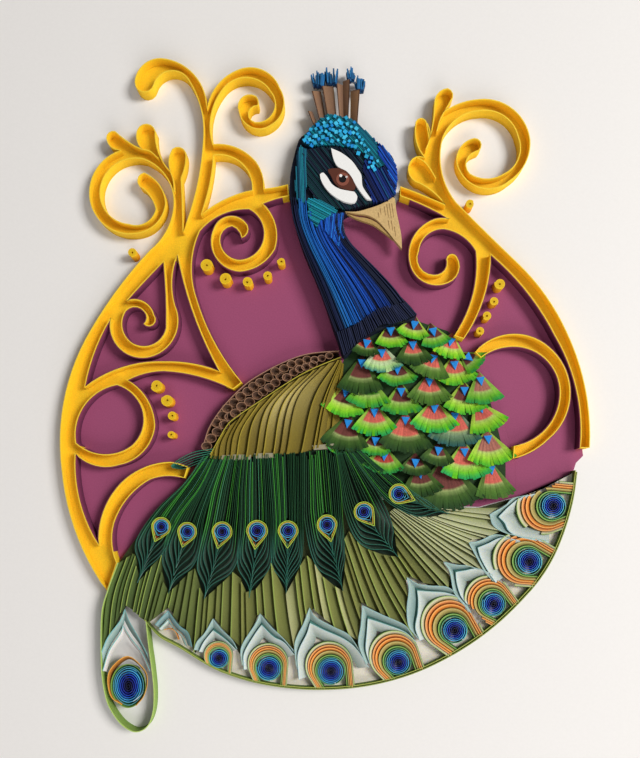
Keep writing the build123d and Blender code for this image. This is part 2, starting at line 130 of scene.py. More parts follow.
def blend(first, second, share):
    """A path a share of the way from one path to another, both cut into as many steps."""
    count = max(len(first), len(second))
    return even(first, count) + (even(second, count) - even(first, count)) * share


def inside(points, polygon):
    """True for each point inside a polygon: a ray to the right crosses an odd number of sides."""
    p = np.asarray(points, float)[:, None, :]
    a = np.asarray(polygon, float)[None, :, :]
    b = np.roll(a, -1, axis=1)
    straddles = (a[..., 1] > p[..., 1]) != (b[..., 1] > p[..., 1])
    rise = np.where(straddles, b[..., 1] - a[..., 1], 1.0)
    cross = a[..., 0] + (p[..., 1] - a[..., 1]) / rise * (b[..., 0] - a[..., 0])
    return (straddles & (p[..., 0] < cross)).sum(1) % 2 == 1


def even(path, count):
    """A path cut into a number of steps, each the same share of its points."""
    grid, steps = np.linspace(0, 1, len(path)), np.linspace(0, 1, count)
    return np.stack([np.interp(steps, grid, path[:, k]) for k in (0, 1)], 1)


def along(points, count):
    """A smooth path through points, cut into a number of even steps."""
    return even(curve(points, 0.5), count)


def stretches(keep, shortest=3):
    """First and last index of each stretch where a condition holds, if it is long enough."""
    edges = np.flatnonzero(np.diff(np.r_[False, keep, False].astype(int)))
    return [(a, b) for a, b in zip(edges[::2], edges[1::2]) if b - a >= shortest]


def unit(start, end):
    """The direction from one place to another, and the direction to its right."""
    way = np.subtract(end, start).astype(float)
    way = way / np.hypot(*way)
    return way, np.array([-way[1], way[0]])


print("a test curve has", len(curve([(0, 0), (30, 10), (60, 0)])), "points")

# %% [markdown]
# ## Strips
# A strip on edge has a bottom, two walls and a rim. The cut through it is given six corners rather than
# four: the two extra ones sit just below the rim, so that the rim can have its own paint, as the cut edge
# of real paper catches more light than its wall. That rim paint is mostly a painted highlight, and the
# paint of the foot is mostly a painted shade. The lean moves the foot sideways, which shows the wall.


# %% Heaps of strips
sharp_from = math.radians(38)


class Heap:
    """Collects closed shapes with paint on every vertex, then makes one mesh of them."""

    def __init__(self):
        self.points, self.faces, self.paint, self.count = [], [], [], 0

    def add(self, points, faces, paint, ends=()):
        """Adds vertices in pixels and mm, an array of faces, their paint, and end faces with more corners."""
        self.points.append(np.asarray(points, float))
        self.faces += (faces + self.count).tolist()
        self.faces += [(end + self.count).tolist() for end in ends]
        self.paint.append(np.broadcast_to(paint, (len(points), 3)))
        self.count += len(points)

    def make(self, name, material, slot, *nodes):
        """Makes the mesh, in metres, and has it stand for the CAD nodes."""
        p = np.vstack(self.points)
        p = np.stack([(p[:, 0] - middle_x) * pixel, (middle_y - p[:, 1]) * pixel, p[:, 2]], 1) * mm
        mesh = bpy.data.meshes.new(name)
        mesh.from_pydata(p.tolist(), [], self.faces)
        paint = mesh.attributes.new("paint", "FLOAT_COLOR", "POINT")
        rgba = np.ones((len(p), 4))
        rgba[:, :3] = np.vstack(self.paint)
        paint.data.foreach_set("color", rgba.astype(np.float32).ravel())
        mesh.polygons.foreach_set("use_smooth", np.ones(len(mesh.polygons), bool))
        mesh.set_sharp_from_angle(angle=sharp_from)
        mesh.materials.append(material)
        piece = bpy.data.objects.new(name, mesh)
        bpy.context.scene.collection.objects.link(piece)
        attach(piece, "root")
        if nodes:
            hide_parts(*nodes)
        mesh.calc_loop_triangles()
        print(f"{name}: {len(mesh.loop_triangles)} triangles")
        return piece


def colours(value, count):
    """A hex code or an array of linear colours as one colour for each station."""
    value = linear(value) if isinstance(value, str) else np.asarray(value, float)
    return np.broadcast_to(value, (count, 3))


def strip(
    heap, path, wall, rim, foot=None, top=rim_top, base=board_top, lean=0.0, thick=0.3,
    closed=False, foot_path=None, back_path=None, back=None
):
    """A paper strip on edge. Its rim follows the path and its foot lies lean pixels to the right of it.

    Where a foot path is given, with as many points as the path, the foot follows that instead. A back path
    and its paint add the outer wall of the next layer of paper, which leans the other way; the foot of that
    wall is painted at half its paint, a painted shade. The rim paint is mostly a painted highlight and the
    foot paint mostly a painted shade.
    With n the unit vector to the right of travel and t the thickness, the corners at each station are the
    feet at -nt/2 and +nt/2, then rim + nt/2 twice and rim - nt/2 twice, an edge band apart in height.
    The foot belongs to the right of the back path. On the inner chevrons of the tail eyes it lies to the
    left, so their two walls cross in the band below the rim and their faces point inwards.
    """
    count = len(path)
    if closed:
        way = np.roll(path, -1, axis=0) - np.roll(path, 1, axis=0)
    else:
        way = np.gradient(path, axis=0)
    way /= np.maximum(np.hypot(way[:, 0], way[:, 1]), 1e-9)[:, None]
    side = np.stack([-way[:, 1], way[:, 0]], 1)
    half = side * (thick / pixel / 2)
    shift = side * (np.asarray(lean, float) * np.ones(count))[:, None]
    top = np.asarray(top, float) * np.ones(count)
    base = np.asarray(base, float) * np.ones(count)
    low = path + shift if foot_path is None else foot_path
    rear = low if back_path is None else back_path
    part = (edge_band / np.maximum(top - base, 0.2))[:, None]
    level = top - edge_band
    # the foot's paint, mostly darker than the wall as a painted shade
    foot = wall if foot is None else foot
    behind, under = (wall, foot) if back is None else (back, colours(back, count) * 0.5)
    corners = [
        (rear - half, base, under),
        (low + half, base, foot),
        (path + (low - path) * part + half, level, wall),
        (path + half, top, rim),
        (path - half, top, rim),
        (path + (rear - path) * part - half, level, behind),
    ]
    points = np.stack([np.column_stack([xy, z]) for xy, z, _ in corners], 1).reshape(-1, 3)
    paint = np.stack([colours(colour, count) for _, _, colour in corners], 1).reshape(-1, 3)
    ring = np.arange(count * 6).reshape(count, 6)
    after = np.roll(ring, -1, axis=0) if closed else ring[1:]
    here = ring if closed else ring[:-1]
    quads = np.stack([here, after, np.roll(after, -1, axis=1), np.roll(here, -1, axis=1)], -1).reshape(-1, 4)
    heap.add(points, quads, paint, () if closed else (ring[0], ring[-1][::-1]))


def plate(heap, outline, low, high, paint):
    """A flat piece of card cut to an outline, from one height to another."""
    outline = np.asarray(outline, float)
    a, b = outline, np.roll(outline, -1, axis=0)
    if np.sum(a[:, 0] * b[:, 1] - b[:, 0] * a[:, 1]) > 0:
        outline = outline[::-1]
    count = len(outline)
    ring = np.arange(count)
    after = np.roll(ring, -1)
    points = np.vstack([np.column_stack([outline, np.full(count, z)]) for z in (low, high)])
    faces = np.stack([ring, after, after + count, ring + count], 1)
    heap.add(points, faces, linear(paint), (ring[::-1], ring + count))


def varied(code, amount=0.12):
    """A hex code's linear colour, a little lighter or darker each time, as hand-painted paper is."""
    return linear(code) * (1 + random.uniform(-amount, amount))


test = Heap()
strip(test, curve([(0, 0), (30, 10), (60, 0)]), "#ffffff", "#ffffff")
print("a test strip has", len(test.faces), "faces")

# %% [markdown]
# ## Paper
# Quilling paper is uncoated, dyed in the pulp and about 0.15 mm thick. It scatters light with hardly any
# gloss, and its fibres give it a fine mottle. A fibre is some 0.03 mm wide, too fine to show here, so the
# mottle is drawn 0.5 to 1.2 mm coarse. The strips take their colour from the paint on their vertices, and
# the mottle varies it. A strip with the light behind it glows a little, which is given as light scattered
# under the surface. The card of the ground is thicker and has a felt mark, and the white board is
# smoother.


# %% Materials
def node(tree, kind, links=(), **settings):
    """Adds a node, sets its settings and links (socket of the new node, other node's output)."""
    made = tree.nodes.new(kind)
    for name, value in settings.items():
        if name in made.inputs:
            made.inputs[name].default_value = value
        else:
            setattr(made, name, value)
    for name, output in links:
        tree.links.new(made.inputs[name], output)
    return made


def paper(name, colour=None, mottle=0.10, fibre_mm=0.5, bump=0.25, roughness=0.72, through=0.0):
    """Uncoated paper: mottled by its fibres, rough, with a faint relief, and it may let some light through.

    Its colour is (1 - mottle .. 1 + mottle) times the paint, as the noise goes from 0.25 to 0.75.
    """
    material = bpy.data.materials.new(name)
    material.use_nodes = True
    tree = material.node_tree
    shader = tree.nodes["Principled BSDF"]
    shader.inputs["Roughness"].default_value = roughness
    shader.inputs["Specular IOR Level"].default_value = 0.25
    shader.inputs["Subsurface Weight"].default_value = through
    shader.inputs["Subsurface Radius"].default_value = (1.0, 0.8, 0.35)
    shader.inputs["Subsurface Scale"].default_value = 0.8 * mm
    place = node(tree, "ShaderNodeTexCoord")
    fibres = node(tree, "ShaderNodeTexNoise", [("Vector", place.outputs["Object"])])
    fibres.inputs["Scale"].default_value = 1 / (fibre_mm * mm)
    fibres.inputs["Detail"].default_value = 3.0
    span = node(tree, "ShaderNodeMapRange", [("Value", fibres.outputs["Fac"])])
    span.inputs["From Min"].default_value = 0.25
    span.inputs["From Max"].default_value = 0.75
    span.inputs["To Min"].default_value = 1 - mottle
    span.inputs["To Max"].default_value = 1 + mottle
    shade = node(tree, "ShaderNodeVectorMath", [("Scale", span.outputs["Result"])], operation="SCALE")
    if colour is None:
        paint = node(tree, "ShaderNodeAttribute", attribute_name="paint")
        tree.links.new(shade.inputs[0], paint.outputs["Color"])
    else:
        shade.inputs[0].default_value = linear(colour)
    tree.links.new(shader.inputs["Base Color"], shade.outputs["Vector"])
    relief = node(tree, "ShaderNodeBump", [("Height", fibres.outputs["Fac"])])
    relief.inputs["Strength"].default_value = bump
    relief.inputs["Distance"].default_value = 0.05 * mm
    tree.links.new(shader.inputs["Normal"], relief.outputs["Normal"])
    return material


quilling_paper = paper("uncoated quilling paper", through=0.25)
gouache_paper = paper("gouache on watercolour paper", mottle=0.16, fibre_mm=0.8, bump=0.4, roughness=0.6)
smooth_paper = paper("smooth drawing paper", mottle=0.02, fibre_mm=0.8, bump=0.1, roughness=0.6)
plum_card = paper("plum felt-marked card", "#9d4d71", mottle=0.09, fibre_mm=0.6, bump=0.5, roughness=0.8)
white_board = paper("white mount board", "#f1efed", mottle=0.012, fibre_mm=1.2, bump=0.1, roughness=0.6)
green_card = paper("green painted card", "#24401c", mottle=0.2)
dressed = [
    ("ground_card_left", plum_card), ("ground_card_right", plum_card), ("mount_board", white_board),
    ("breast_card", green_card),
]
for name, material in dressed:
    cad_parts[name].data.materials.clear()
    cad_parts[name].data.materials.append(material)
print("materials:", [m.name for m in bpy.data.materials if m.users])

# %% [markdown]
# The two ground cards end under the bird. What shows of the plum between its parts is one more layer of
# the same card, a hair lower, so that the joint can't be seen.

# %% Plum card under the bird
plum_under_areas = [
    [(110, 575), (118, 563), (125, 550), (137, 535), (152, 517), (168, 503), (188, 483), (203, 464),
     (206, 450), (215, 446), (330, 440), (345, 400), (350, 340), (320, 250), (310, 192), (276, 193),
     (276, 260), (300, 330), (230, 380), (195, 430), (150, 490), (112, 545)],
    [(340, 200), (372, 204), (440, 215), (430, 300), (480, 340), (520, 400), (524, 478), (570, 460),
     (584, 452), (578, 471), (545, 488.5), (521, 496.5), (482, 507), (445, 506), (430, 440), (400, 330),
     (350, 250)],
]
plum_under = Heap()
for area in plum_under_areas:
    plate(plum_under, area, board_top + 0.01, ground_top - 0.03, "#ffffff")
plum_under.make("plum_card_under_bird", plum_card, "plum_card")

# %% [markdown]
# ## Scroll frame
# Each yellow scroll is an open channel: a yellow card floor with a strip on edge along every side of it.
# The CAD solid has the right outline but is filled, so its own edges serve as the paths. The sides of its
# upper face that belong to one triangle only are its outline, and they are chained into loops. The floor
# is the same solid pressed flat.


# %% Outlines of the CAD bands
def mesh_arrays(name):
    """The vertices of a CAD node, in mm, and its triangles."""
    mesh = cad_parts[name].data
    mesh.calc_loop_triangles()
    points = np.zeros(len(mesh.vertices) * 3)
    mesh.vertices.foreach_get("co", points)
    corners = np.zeros(len(mesh.loop_triangles) * 3, int)
    mesh.loop_triangles.foreach_get("vertices", corners)
    return points.reshape(-1, 3) / mm, corners.reshape(-1, 3)


def in_pixels(points):
    """Places in mm as places in the picture."""
    return np.stack([points[:, 0] / pixel + middle_x, middle_y - points[:, 1] / pixel], 1)


def outlines(name):
    """The closed outlines of a CAD node's upper faces, in pixels, with the card on their left."""
    points, corners = mesh_arrays(name)
    level = points[:, 2].max()
    corners = corners[(points[corners, 2] > level - 0.01).all(1)]
    places, index = np.unique(np.round(points[:, :2], 3), axis=0, return_inverse=True)
    corners = index.ravel()[corners]
    sides = np.vstack([corners[:, [0, 1]], corners[:, [1, 2]], corners[:, [2, 0]]])
    known = set(map(tuple, sides.tolist()))
    follow = {a: b for a, b in sides.tolist() if (b, a) not in known and a != b}
    loops = []
    while follow:
        start, here = follow.popitem()
        loop = [start]
        while here != start:
            loop.append(here)
            here = follow.pop(here)
        loops.append(in_pixels(places[loop]))
    return loops


def beside(loop, distance):
    """A loop moved to its right by a distance in pixels, with mitred corners."""
    ahead = np.roll(loop, -1, axis=0) - loop
    ahead /= np.maximum(np.hypot(ahead[:, 0], ahead[:, 1]), 1e-9)[:, None]
    right = np.stack([-ahead[:, 1], ahead[:, 0]], 1)
    before = np.roll(right, 1, axis=0)
    mitre = (right + before) / np.maximum(1 + (right * before).sum(1), 0.35)[:, None]
    return loop + mitre * distance


bands = outlines("scroll_frame")
grounds = outlines("ground_card_left") + outlines("ground_card_right")
print("outlines:", [len(loop) for loop in bands], "grounds:", [len(loop) for loop in grounds])

# %% Floors and walls of the channels
# the rims are painted a little lighter than the walls, a painted highlight, and the feet darker, a painted
# shade
floor_paint, wall_paint, wall_rim_highlight, wall_foot_shade = "#f6c624", "#f7cb28", "#f9d23c", "#eebc22"
floor_thickness = 1.3
leaf_strips = [
    [(444.5, 111), (440, 120), (437, 131)], [(427.5, 123), (430, 131), (429.5, 140), (426, 149)],
    [(417, 157), (424, 161), (430, 168), (436, 178)], [(142, 149), (150, 151), (158, 158)],
    [(170, 171), (173, 180), (174, 192)],
]
scrolls = Heap()
points, corners = mesh_arrays("scroll_frame")
press = (points[:, 2] - ground_top) / (rim_top - ground_top)
pressed = np.column_stack([in_pixels(points), board_top + 0.05 + press * floor_thickness])
merged, index = np.unique(np.round(pressed, 4), axis=0, return_inverse=True)
triangles = index.ravel()[corners]
triangles = triangles[(triangles[:, 0] != triangles[:, 1]) & (triangles[:, 1] != triangles[:, 2])]
scrolls.add(merged, triangles, linear(floor_paint))
for loop in bands:
    strip(scrolls, beside(loop, -0.5), wall_paint, wall_rim_highlight, wall_foot_shade, thick=0.45, closed=True)
for leaf in leaf_strips:
    strip(scrolls, curve(leaf), wall_paint, wall_rim_highlight, wall_foot_shade, top=rim_top - 0.2, thick=0.4)
scrolls.make("scroll_channels", quilling_paper, "yellow_paper", "scroll_frame")

# %% [markdown]
# Where a scroll stands on the plum card, a plum strip is glued along its outside. So a liner follows the
# band's outline wherever there is ground card a little way out from it.

# %% Plum liners
liner_reach = 3.0
liners = Heap()
for loop in bands:
    liner = beside(loop, 0.45)
    over = np.any([inside(beside(loop, liner_reach), ground) for ground in grounds], axis=0)
    gap = int(np.argmin(over))
    liner, over = np.roll(liner, -gap, axis=0), np.roll(over, -gap)
    for a, b in [(0, len(liner))] if over.all() else stretches(over):
        # the liner's rim is painted lighter than its wall, a painted highlight, and its foot darker, a
        # painted shade
        strip(
            liners, liner[a:b], "#7e3858", "#8a4456", "#562440", rim_top - 0.1, ground_top - 0.1, thick=0.35
        )
liners.make("plum_liners", quilling_paper, "plum_card")

# %% [markdown]
# ## Rolled dots
# A dot is a strip rolled tight round a needle, so from above it is a spiral with a small hole, and its
# outer turn is a plain cylinder.

# %% Rolled dots
dots = [
    (206.5, 265.4, 6.3), (225.4, 279, 6.0), (247.4, 282, 5.2), (267.5, 276, 4.6), (281.2, 261.6, 4.2),
    (156.5, 386, 6.0), (167, 400.5, 6.0), (172, 416, 4.5), (171, 435, 4.0), (500, 284, 5.5),
    (494, 301.5, 4.5), (487, 315.7, 4.6), (480, 331, 4.3), (132, 252.5, 4.7), (470, 204, 4.5),
]
rolls = Heap()
for x, y, radius in dots:
    path = spiral((x, y), 1.0, radius - 0.3, (radius - 1.3) / 0.85, random.uniform(0, 360), spacing=1.3)
    # the turns are painted darker towards the middle of the dot; the rim is painted lighter, a painted
    # highlight, and the foot darker, a painted shade
    shade = np.linspace(0.8, 1.0, len(path))[:, None]
    strip(rolls, path, linear("#f6b820") * shade, linear("#fccb22") * shade, "#d98a10", thick=0.36)
rolls.make("rolled_dots_yellow", quilling_paper, "yellow_rolls", "rolled_dots")

# %% [markdown]
# ## Tail eyes
# Each eye of the tail is a nest of leaning strips. The foot of one strip reaches the next, so its wall
# shows as a broad band beside its thin rim. From outside in there are two pointed chevrons of blue-grey
# paper, a green loop, two orange ones, an olive one and a green one, and then a tight coil. The loops are
# circles that nearly touch at the tail's edge and lie far apart towards the tip of the eye.

# %% Layout of the tail
tail_edge = curve(
    [(146, 622), (160, 637), (180, 648), (213, 668), (242, 679), (270, 685.5), (300, 689), (330, 689.5),
     (360, 687), (390, 681), (420, 671), (449, 657), (475, 641), (500, 621.5), (522, 600), (540, 579),
     (554, 556), (565, 529), (573, 500), (577, 472)]
)
tail_root = [(545, 489), (521, 497), (482, 508), (449, 509), (400, 490), (300, 470), (170, 500), (118, 562)]
tail_region = np.vstack([tail_edge, tail_root])
feather_outline = curve(
    [(118, 563), (108, 590), (102, 612), (101, 645), (102, 675), (106, 698), (112, 712), (122, 725),
     (135, 732), (147, 727), (153, 712), (154, 692), (152, 670), (149, 648), (146, 622)]
)
eyes = [
    dict(
        at=(554, 506), r=11.8, reach=37, tip=(490, 514.5), second=(499, 517),
        outer=[[(505, 506), (512.5, 499), (524, 496)], [(493, 525), (503, 532), (518, 536), (549, 541)]],
        inner=[[(510, 506), (521, 498), (535, 494)], [(505, 523), (509, 531), (520, 537), (549, 543)]],
    ),
    dict(
        at=(530, 562), r=12.2, reach=37, tip=(469, 543), second=(478, 548),
        outer=[[(480, 541), (494, 535), (508, 537)], [(476, 556), (485, 572), (493, 581)]],
        inner=[[(488, 544), (502, 538), (520, 541)], [(481, 558), (488, 571), (496, 583)]],
    ),
    dict(
        at=(494, 604.5), r=11.5, reach=31, tip=(443.8, 562), second=(456, 572.5),
        outer=[[(455, 565), (467, 566), (478, 569)], [(450, 572), (454, 592), (463, 604), (471, 613)]],
        inner=[[(465, 571), (478, 569), (493, 575)], [(457, 583), (461, 596), (467, 604)]],
    ),
    dict(
        at=(455, 631), r=12.0, reach=37, tip=(407, 577.5), second=(417.5, 591),
        outer=[[(417, 584), (430, 586), (446, 587), (455, 592)],
               [(409, 590), (407, 610), (409, 627), (417, 637)]],
        inner=[[(430, 592), (445, 593), (457, 597), (465, 604)],
               [(418.5, 600), (418, 613), (415.6, 628), (420, 641)]],
    ),
    dict(
        at=(398.5, 663), r=12.0, reach=33, tip=(362.6, 605.7), second=(368, 619),
        outer=[[(382, 615), (404, 625), (412, 635)], [(361, 626), (358.6, 644), (366, 664)]],
        inner=[[(383, 624), (404, 632), (416, 642)], [(367, 633), (366, 650), (370, 664)]],
    ),
    dict(
        at=(331, 672), r=13.0, reach=30, tip=(309.6, 608), second=(310, 623.5),
        outer=[[(315, 617), (333, 627), (348, 634.5), (356, 645)], [(304, 623), (295, 643), (296, 664)]],
        inner=[[(325, 631), (343, 639), (356, 649), (369, 668)], [(307, 634), (298, 654), (299, 680)]],
    ),
    dict(
        at=(268.6, 669), r=12.0, reach=25, tip=(260, 614), second=(261.5, 625.5),
        outer=[[(271, 627), (283, 638.5), (293, 650)], [(255.5, 624), (241.5, 647), (242, 664)]],
        inner=[[(273, 637), (284, 643), (294, 655)], [(254, 636), (244, 654), (244, 670)]],
    ),
    dict(
        at=(218.6, 659), r=9.5, reach=17, tip=(213, 619), second=(213, 631),
        outer=[[(222, 630), (232, 640), (237, 649)], [(205, 633), (197, 642), (194, 650)]],
        inner=[[(224, 639), (236, 650)], [(204, 642), (199, 652)]],
    ),
]
print("eyes along the tail:", len(eyes))


# %% Functions for coils, loops and chevrons
def mix(stops, codes, share):
    """Colours along a share from 0 to 1, straight between the stops."""
    return np.stack([np.interp(share, stops, [linear(c)[k] for c in codes]) for k in range(3)], -1)


def eye_coil(heap, centre, radius, squash=(1.0, 1.0)):
    """A tight coil that is rolled from a navy, a royal blue and a light blue strip in turn."""
    path = spiral(centre, 0.5, radius, radius / 1.9, random.uniform(0, 360), squash, 1.4)
    share = np.linspace(0, 1, len(path))
    stops = [0, 0.25, 0.38, 0.60, 0.74, 0.84, 1.0]
    # the rim paints are lighter copies of the wall paints, a painted highlight; the strip takes the wall at
    # 0.8 and the foot at 0.3 of them, a painted shade
    wall = mix(stops, ["#10121f", "#15162e", "#18206a", "#1a309a", "#1c62b8", "#2a9be0", "#1c6fa0"], share)
    rim = mix(stops, ["#1e2030", "#262a60", "#2c3cb0", "#2f5ae0", "#3a9ae6", "#62c8f6", "#5ab8d8"], share)
    height = rim_top - 0.5 + 0.2 * np.sin(np.linspace(0, 40, len(path)))
    strip(heap, path, wall * 0.8, rim, wall * 0.3, top=height, thick=0.24, lean=-0.35)


def ring(eye, share, spread=105, legs=26):
    """A loop of an eye, where share runs from 0 at the coil to 1 at the outer loop.

    Its reach towards the tip is D = r + share * (reach - r) and towards the edge b = r + 0.2 * (D - r),
    so its radius is (D + b) / 2 and its middle lies (D - b) / 2 from the coil's. Past the spread in
    degrees both ends run on straight, like the legs of a horseshoe.
    """
    way, _ = unit(eye["at"], eye["tip"])
    far = eye["r"] + share * (eye["reach"] - eye["r"])
    near = eye["r"] + 0.2 * (far - eye["r"])
    turn = np.radians(np.linspace(-spread, spread, 60)) + math.atan2(way[1], way[0])
    middle = eye["at"] + way * (far - near) / 2
    bend = middle + (far + near) / 2 * np.stack([np.cos(turn), np.sin(turn)], 1)
    if not legs:
        return bend
    run = np.linspace(0, legs, 14)[1:, None]
    first, _ = unit(bend[1], bend[0])
    last, _ = unit(bend[-2], bend[-1])
    return np.vstack([(bend[0] + run * first)[::-1], bend, bend[-1] + run * last])


def own(path, eye):
    """True where a path is inside the tail and nearer to its own eye than to others.

    It also has to be clear of the chevrons of the others.
    """
    reach = np.array([np.hypot(*(path - np.array(other["at"])).T) for other in eyes])
    mine = np.hypot(*(path - np.array(eye["at"])).T)
    free = inside(path, tail_region) & (mine <= reach.min(0) + 1.0)
    for other, region in zip(eyes, eye_regions):
        if other is not eye:
            free &= ~inside(path, region)
    return free


def cone(
    heap, rim_path, foot_path, rim, upper, lower, keep=None, top=rim_top, shade=1.0, depth=2.4,
    back_path=None, back=None
):
    """A leaning strip from a rim path to a foot path, painted lighter above than below, a painted shade
    towards the foot; shade scales both paints along the path.
    """
    keep = np.ones(len(rim_path), bool) if keep is None else keep
    tint = np.broadcast_to(np.asarray(shade, float), (len(rim_path),))[:, None]
    wall, low = linear(upper) * tint, linear(lower) * tint
    for a, b in stretches(keep):
        rear = None if back_path is None else back_path[a:b]
        strip(
            heap, rim_path[a:b], wall[a:b], rim, low[a:b], top=top, base=top - depth,
            foot_path=foot_path[a:b], back_path=rear, back=back
        )


def chevron(tip, arms, count=24):
    """A path up one arm to the tip of an eye and down the other."""
    first = along([tip] + arms[0], count)[::-1]
    return np.vstack([first, along([tip] + arms[1], count)[1:]])


eye_regions = []
for eye in eyes:
    past = [np.array(eye["at"]) * 1.9 - np.array(arm[-1]) * 0.9 for arm in eye["outer"]]
    eye_regions.append(np.vstack([chevron(eye["tip"], eye["outer"]), past]))
print("chevron regions:", len(eye_regions))

# %% Coils, loops and chevrons of the tail
coils, loops, chevrons = Heap(), Heap(), Heap()
ring_shares = [1.0, 0.80, 0.63, 0.44, 0.20, 0.06]
# each loop's paints are its rim, its wall above and below, and its back; the lower wall and the back are
# painted darker, a painted shade, and the rims mostly lighter, a painted highlight
ring_paints = [
    ("#b4c888", "#cdc8a8", "#a8966c", "#56783c"), ("#efae6c", "#d98a4c", "#a85c28", "#80601c"),
    ("#f2ae60", "#e08c38", "#b05c20", "#9a4a16"), ("#c0b070", "#b09c58", "#6c6c38", "#7c6c2c"),
    ("#8fb860", "#4a7a3a", "#1f3c1c", "#2b4f24"),
]
for eye in eyes:
    eye_coil(coils, eye["at"], eye["r"])
    for index, (rim, upper, lower, back) in enumerate(ring_paints):
        path, foot = ring(eye, ring_shares[index]), ring(eye, ring_shares[index + 1])
        cone(
            loops, path, foot + (path - foot) * 0.2, rim, upper, lower, own(path, eye), rim_top - 0.1 * index,
            depth=0.9, back_path=ring(eye, ring_shares[index] + 0.05), back=back
        )
    # a green strip with a lighter painted rim, a painted highlight, over a dark painted foot, a painted shade
    strip(loops, ring(eye, 0.08, 178, 0), "#2c6a3a", "#6db38a", "#15301a", thick=0.26, top=rim_top - 0.5)
    outer = chevron(eye["tip"], eye["outer"])
    second = chevron(eye["second"], eye["inner"])
    # each chevron is painted darker towards one arm than the other, a painted shade, and darker towards its
    # foot; the outer wall behind the inner chevron is painted a dark teal, a painted shade
    side = np.linspace(0.85, 1.1, len(outer))
    low = outer + (second - outer) * 0.75
    cone(chevrons, outer, low, "#9cc0ba", "#a2b8b2", "#6f8e8a", shade=side, depth=1.0)
    low = second + (np.array(eye["at"], float) - second) * 0.30
    cone(
        chevrons, second, low, "#bcdad6", "#ccd4ce", "#8a9b92", None, rim_top - 0.1, side, 1.2,
        second + (outer - second) * 0.25, "#4f877f"
    )
print("loops to an eye:", len(ring_paints))

# %% [markdown]
# At the foot of the tail, beside the long feather, there is one more chevron, whose eye is hidden, and
# one bent orange strip in it.

# %% Chevron without an eye
spare_outer = chevron((168, 611), [[(179, 625.7), (188, 633), (192, 647)], [(161, 618), (155, 625)]])
spare_inner = chevron((168, 620), [[(175, 630), (182, 636), (186.5, 646)], [(163, 625), (159, 629)]])
spare_arc = along([(163.6, 630), (170, 629), (175, 631.4), (178.6, 640)], 12)
# the chevron walls are painted darker towards their feet, a painted shade; the bent strip has a lighter
# painted rim, a painted highlight, and a darker foot, a painted shade
low = spare_outer + (spare_inner - spare_outer) * 0.8
cone(chevrons, spare_outer, low, "#6fa5a6", "#8ba8a8", "#5f8082", depth=1.2)
low = spare_inner + (np.array([172.0, 640]) - spare_inner) * 0.2
cone(chevrons, spare_inner, low, "#7fb5b2", "#cfd9d4", "#9aaba0", depth=1.2)
strip(loops, spare_arc, "#b8722c", "#f0a04a", "#7a4a1c", lean=1.6, thick=0.26)
print("points along the spare chevron:", len(spare_outer))

# %% The long feather at the left
feather_eye = np.array([127.9, 686.5])
eye_coil(coils, feather_eye, 14.0, (1.0, 1.28))


def egg(grow):
    """A loop round the long feather's coil, pointed below.

    Its lower half has 1 - 0.16 sin(angle)^3 times the width, so it narrows as the angle nears 90 degrees.
    """
    turn = np.radians(np.linspace(-90, 270, 61))
    narrow = np.where(np.sin(turn) > 0, 1 - 0.16 * np.sin(turn) ** 3, 1.0)
    x = (14.2 + grow) * narrow * np.cos(turn)
    return feather_eye + np.stack([x, (18.2 + 1.1 * grow) * np.sin(turn)], 1)


# the loops are painted darker towards their feet, a painted shade, with lighter rims, a painted highlight
cone(loops, egg(3.2), egg(1.0), "#7fa348", "#5f8a3a", "#2f5a2a", top=rim_top - 0.3)
cone(loops, egg(0.9), egg(0.2), "#5aa0a8", "#2c6a5a", "#15302a", top=rim_top - 0.5)
orange_out = along(
    [(122, 705), (111, 697), (107.5, 679), (113, 666), (128, 656.5), (143.6, 669), (147.5, 681), (144, 696),
     (136, 706)], 50
)
orange_in = feather_eye + (orange_out - feather_eye) * 0.86
cone(loops, orange_out, orange_in, "#f2ae4a", "#b5732c", "#6a4a20")
feather_outer = chevron(
    (124.7, 609.3), [[(129, 621), (139, 638.6), (147, 654)], [(120.7, 620), (108, 637), (101.5, 652)]]
)
feather_inner = chevron(
    (122.9, 625.7), [[(131, 638.6), (142, 653), (150, 671)], [(120, 634), (109, 651), (102.5, 671)]]
)
# the outer chevron is painted darker towards one arm than the other, a painted shade
side = np.linspace(0.55, 1.15, len(feather_outer))
low = feather_inner + (feather_outer - feather_inner) * 0.3
cone(chevrons, feather_outer, low, "#7fc0bc", "#9fb6b2", "#6f908c", shade=side, depth=1.2)
low = feather_inner + (feather_eye - feather_inner) * 0.10
cone(chevrons, feather_inner, low, "#7fc0bc", "#dcd8d6", "#bdbab6", depth=1.2)
coils.make("tail_eye_coils", quilling_paper, "royal_blue_coils")
plate(loops, tail_region, board_top + 0.01, board_top + 2.35, "#ebe5d6")
loops.make("tail_eye_loops", quilling_paper, "orange_paper", "eye_arcs")
chevrons.make("tail_chevron_strips", quilling_paper, "grey_teal_paper", "tail_chevrons")
edge_strips = Heap()
# the edge strips have rims painted lighter than their walls, a painted highlight, and feet painted darker, a
# painted shade
strip(edge_strips, tail_edge, "#5f6e34", "#8fa050", "#49552a", thick=0.4, top=rim_top + 0.1)
strip(edge_strips, tail_edge + [-1.2, -1.6], "#6f8a3a", "#b5bf5e", "#49552a", thick=0.3, top=rim_top)
strip(edge_strips, feather_outline, "#8aa850", "#b9d478", "#6c8a3c", thick=0.4, top=rim_top + 0.2)
edge_strips.make("tail_edge_strip_pair", quilling_paper, "pale_olive_paper", "tail_edge_strips")

# %% [markdown]
# ## Coverts
# The coverts are eight pointed feathers of dark green strips. In the upper part the strips lie side by
# side, and below the eye they turn in from both sides and meet on the middle line, like nested letters V.
# So a strip keeps its share of the way from the middle line to the feather's side, until it turns in.

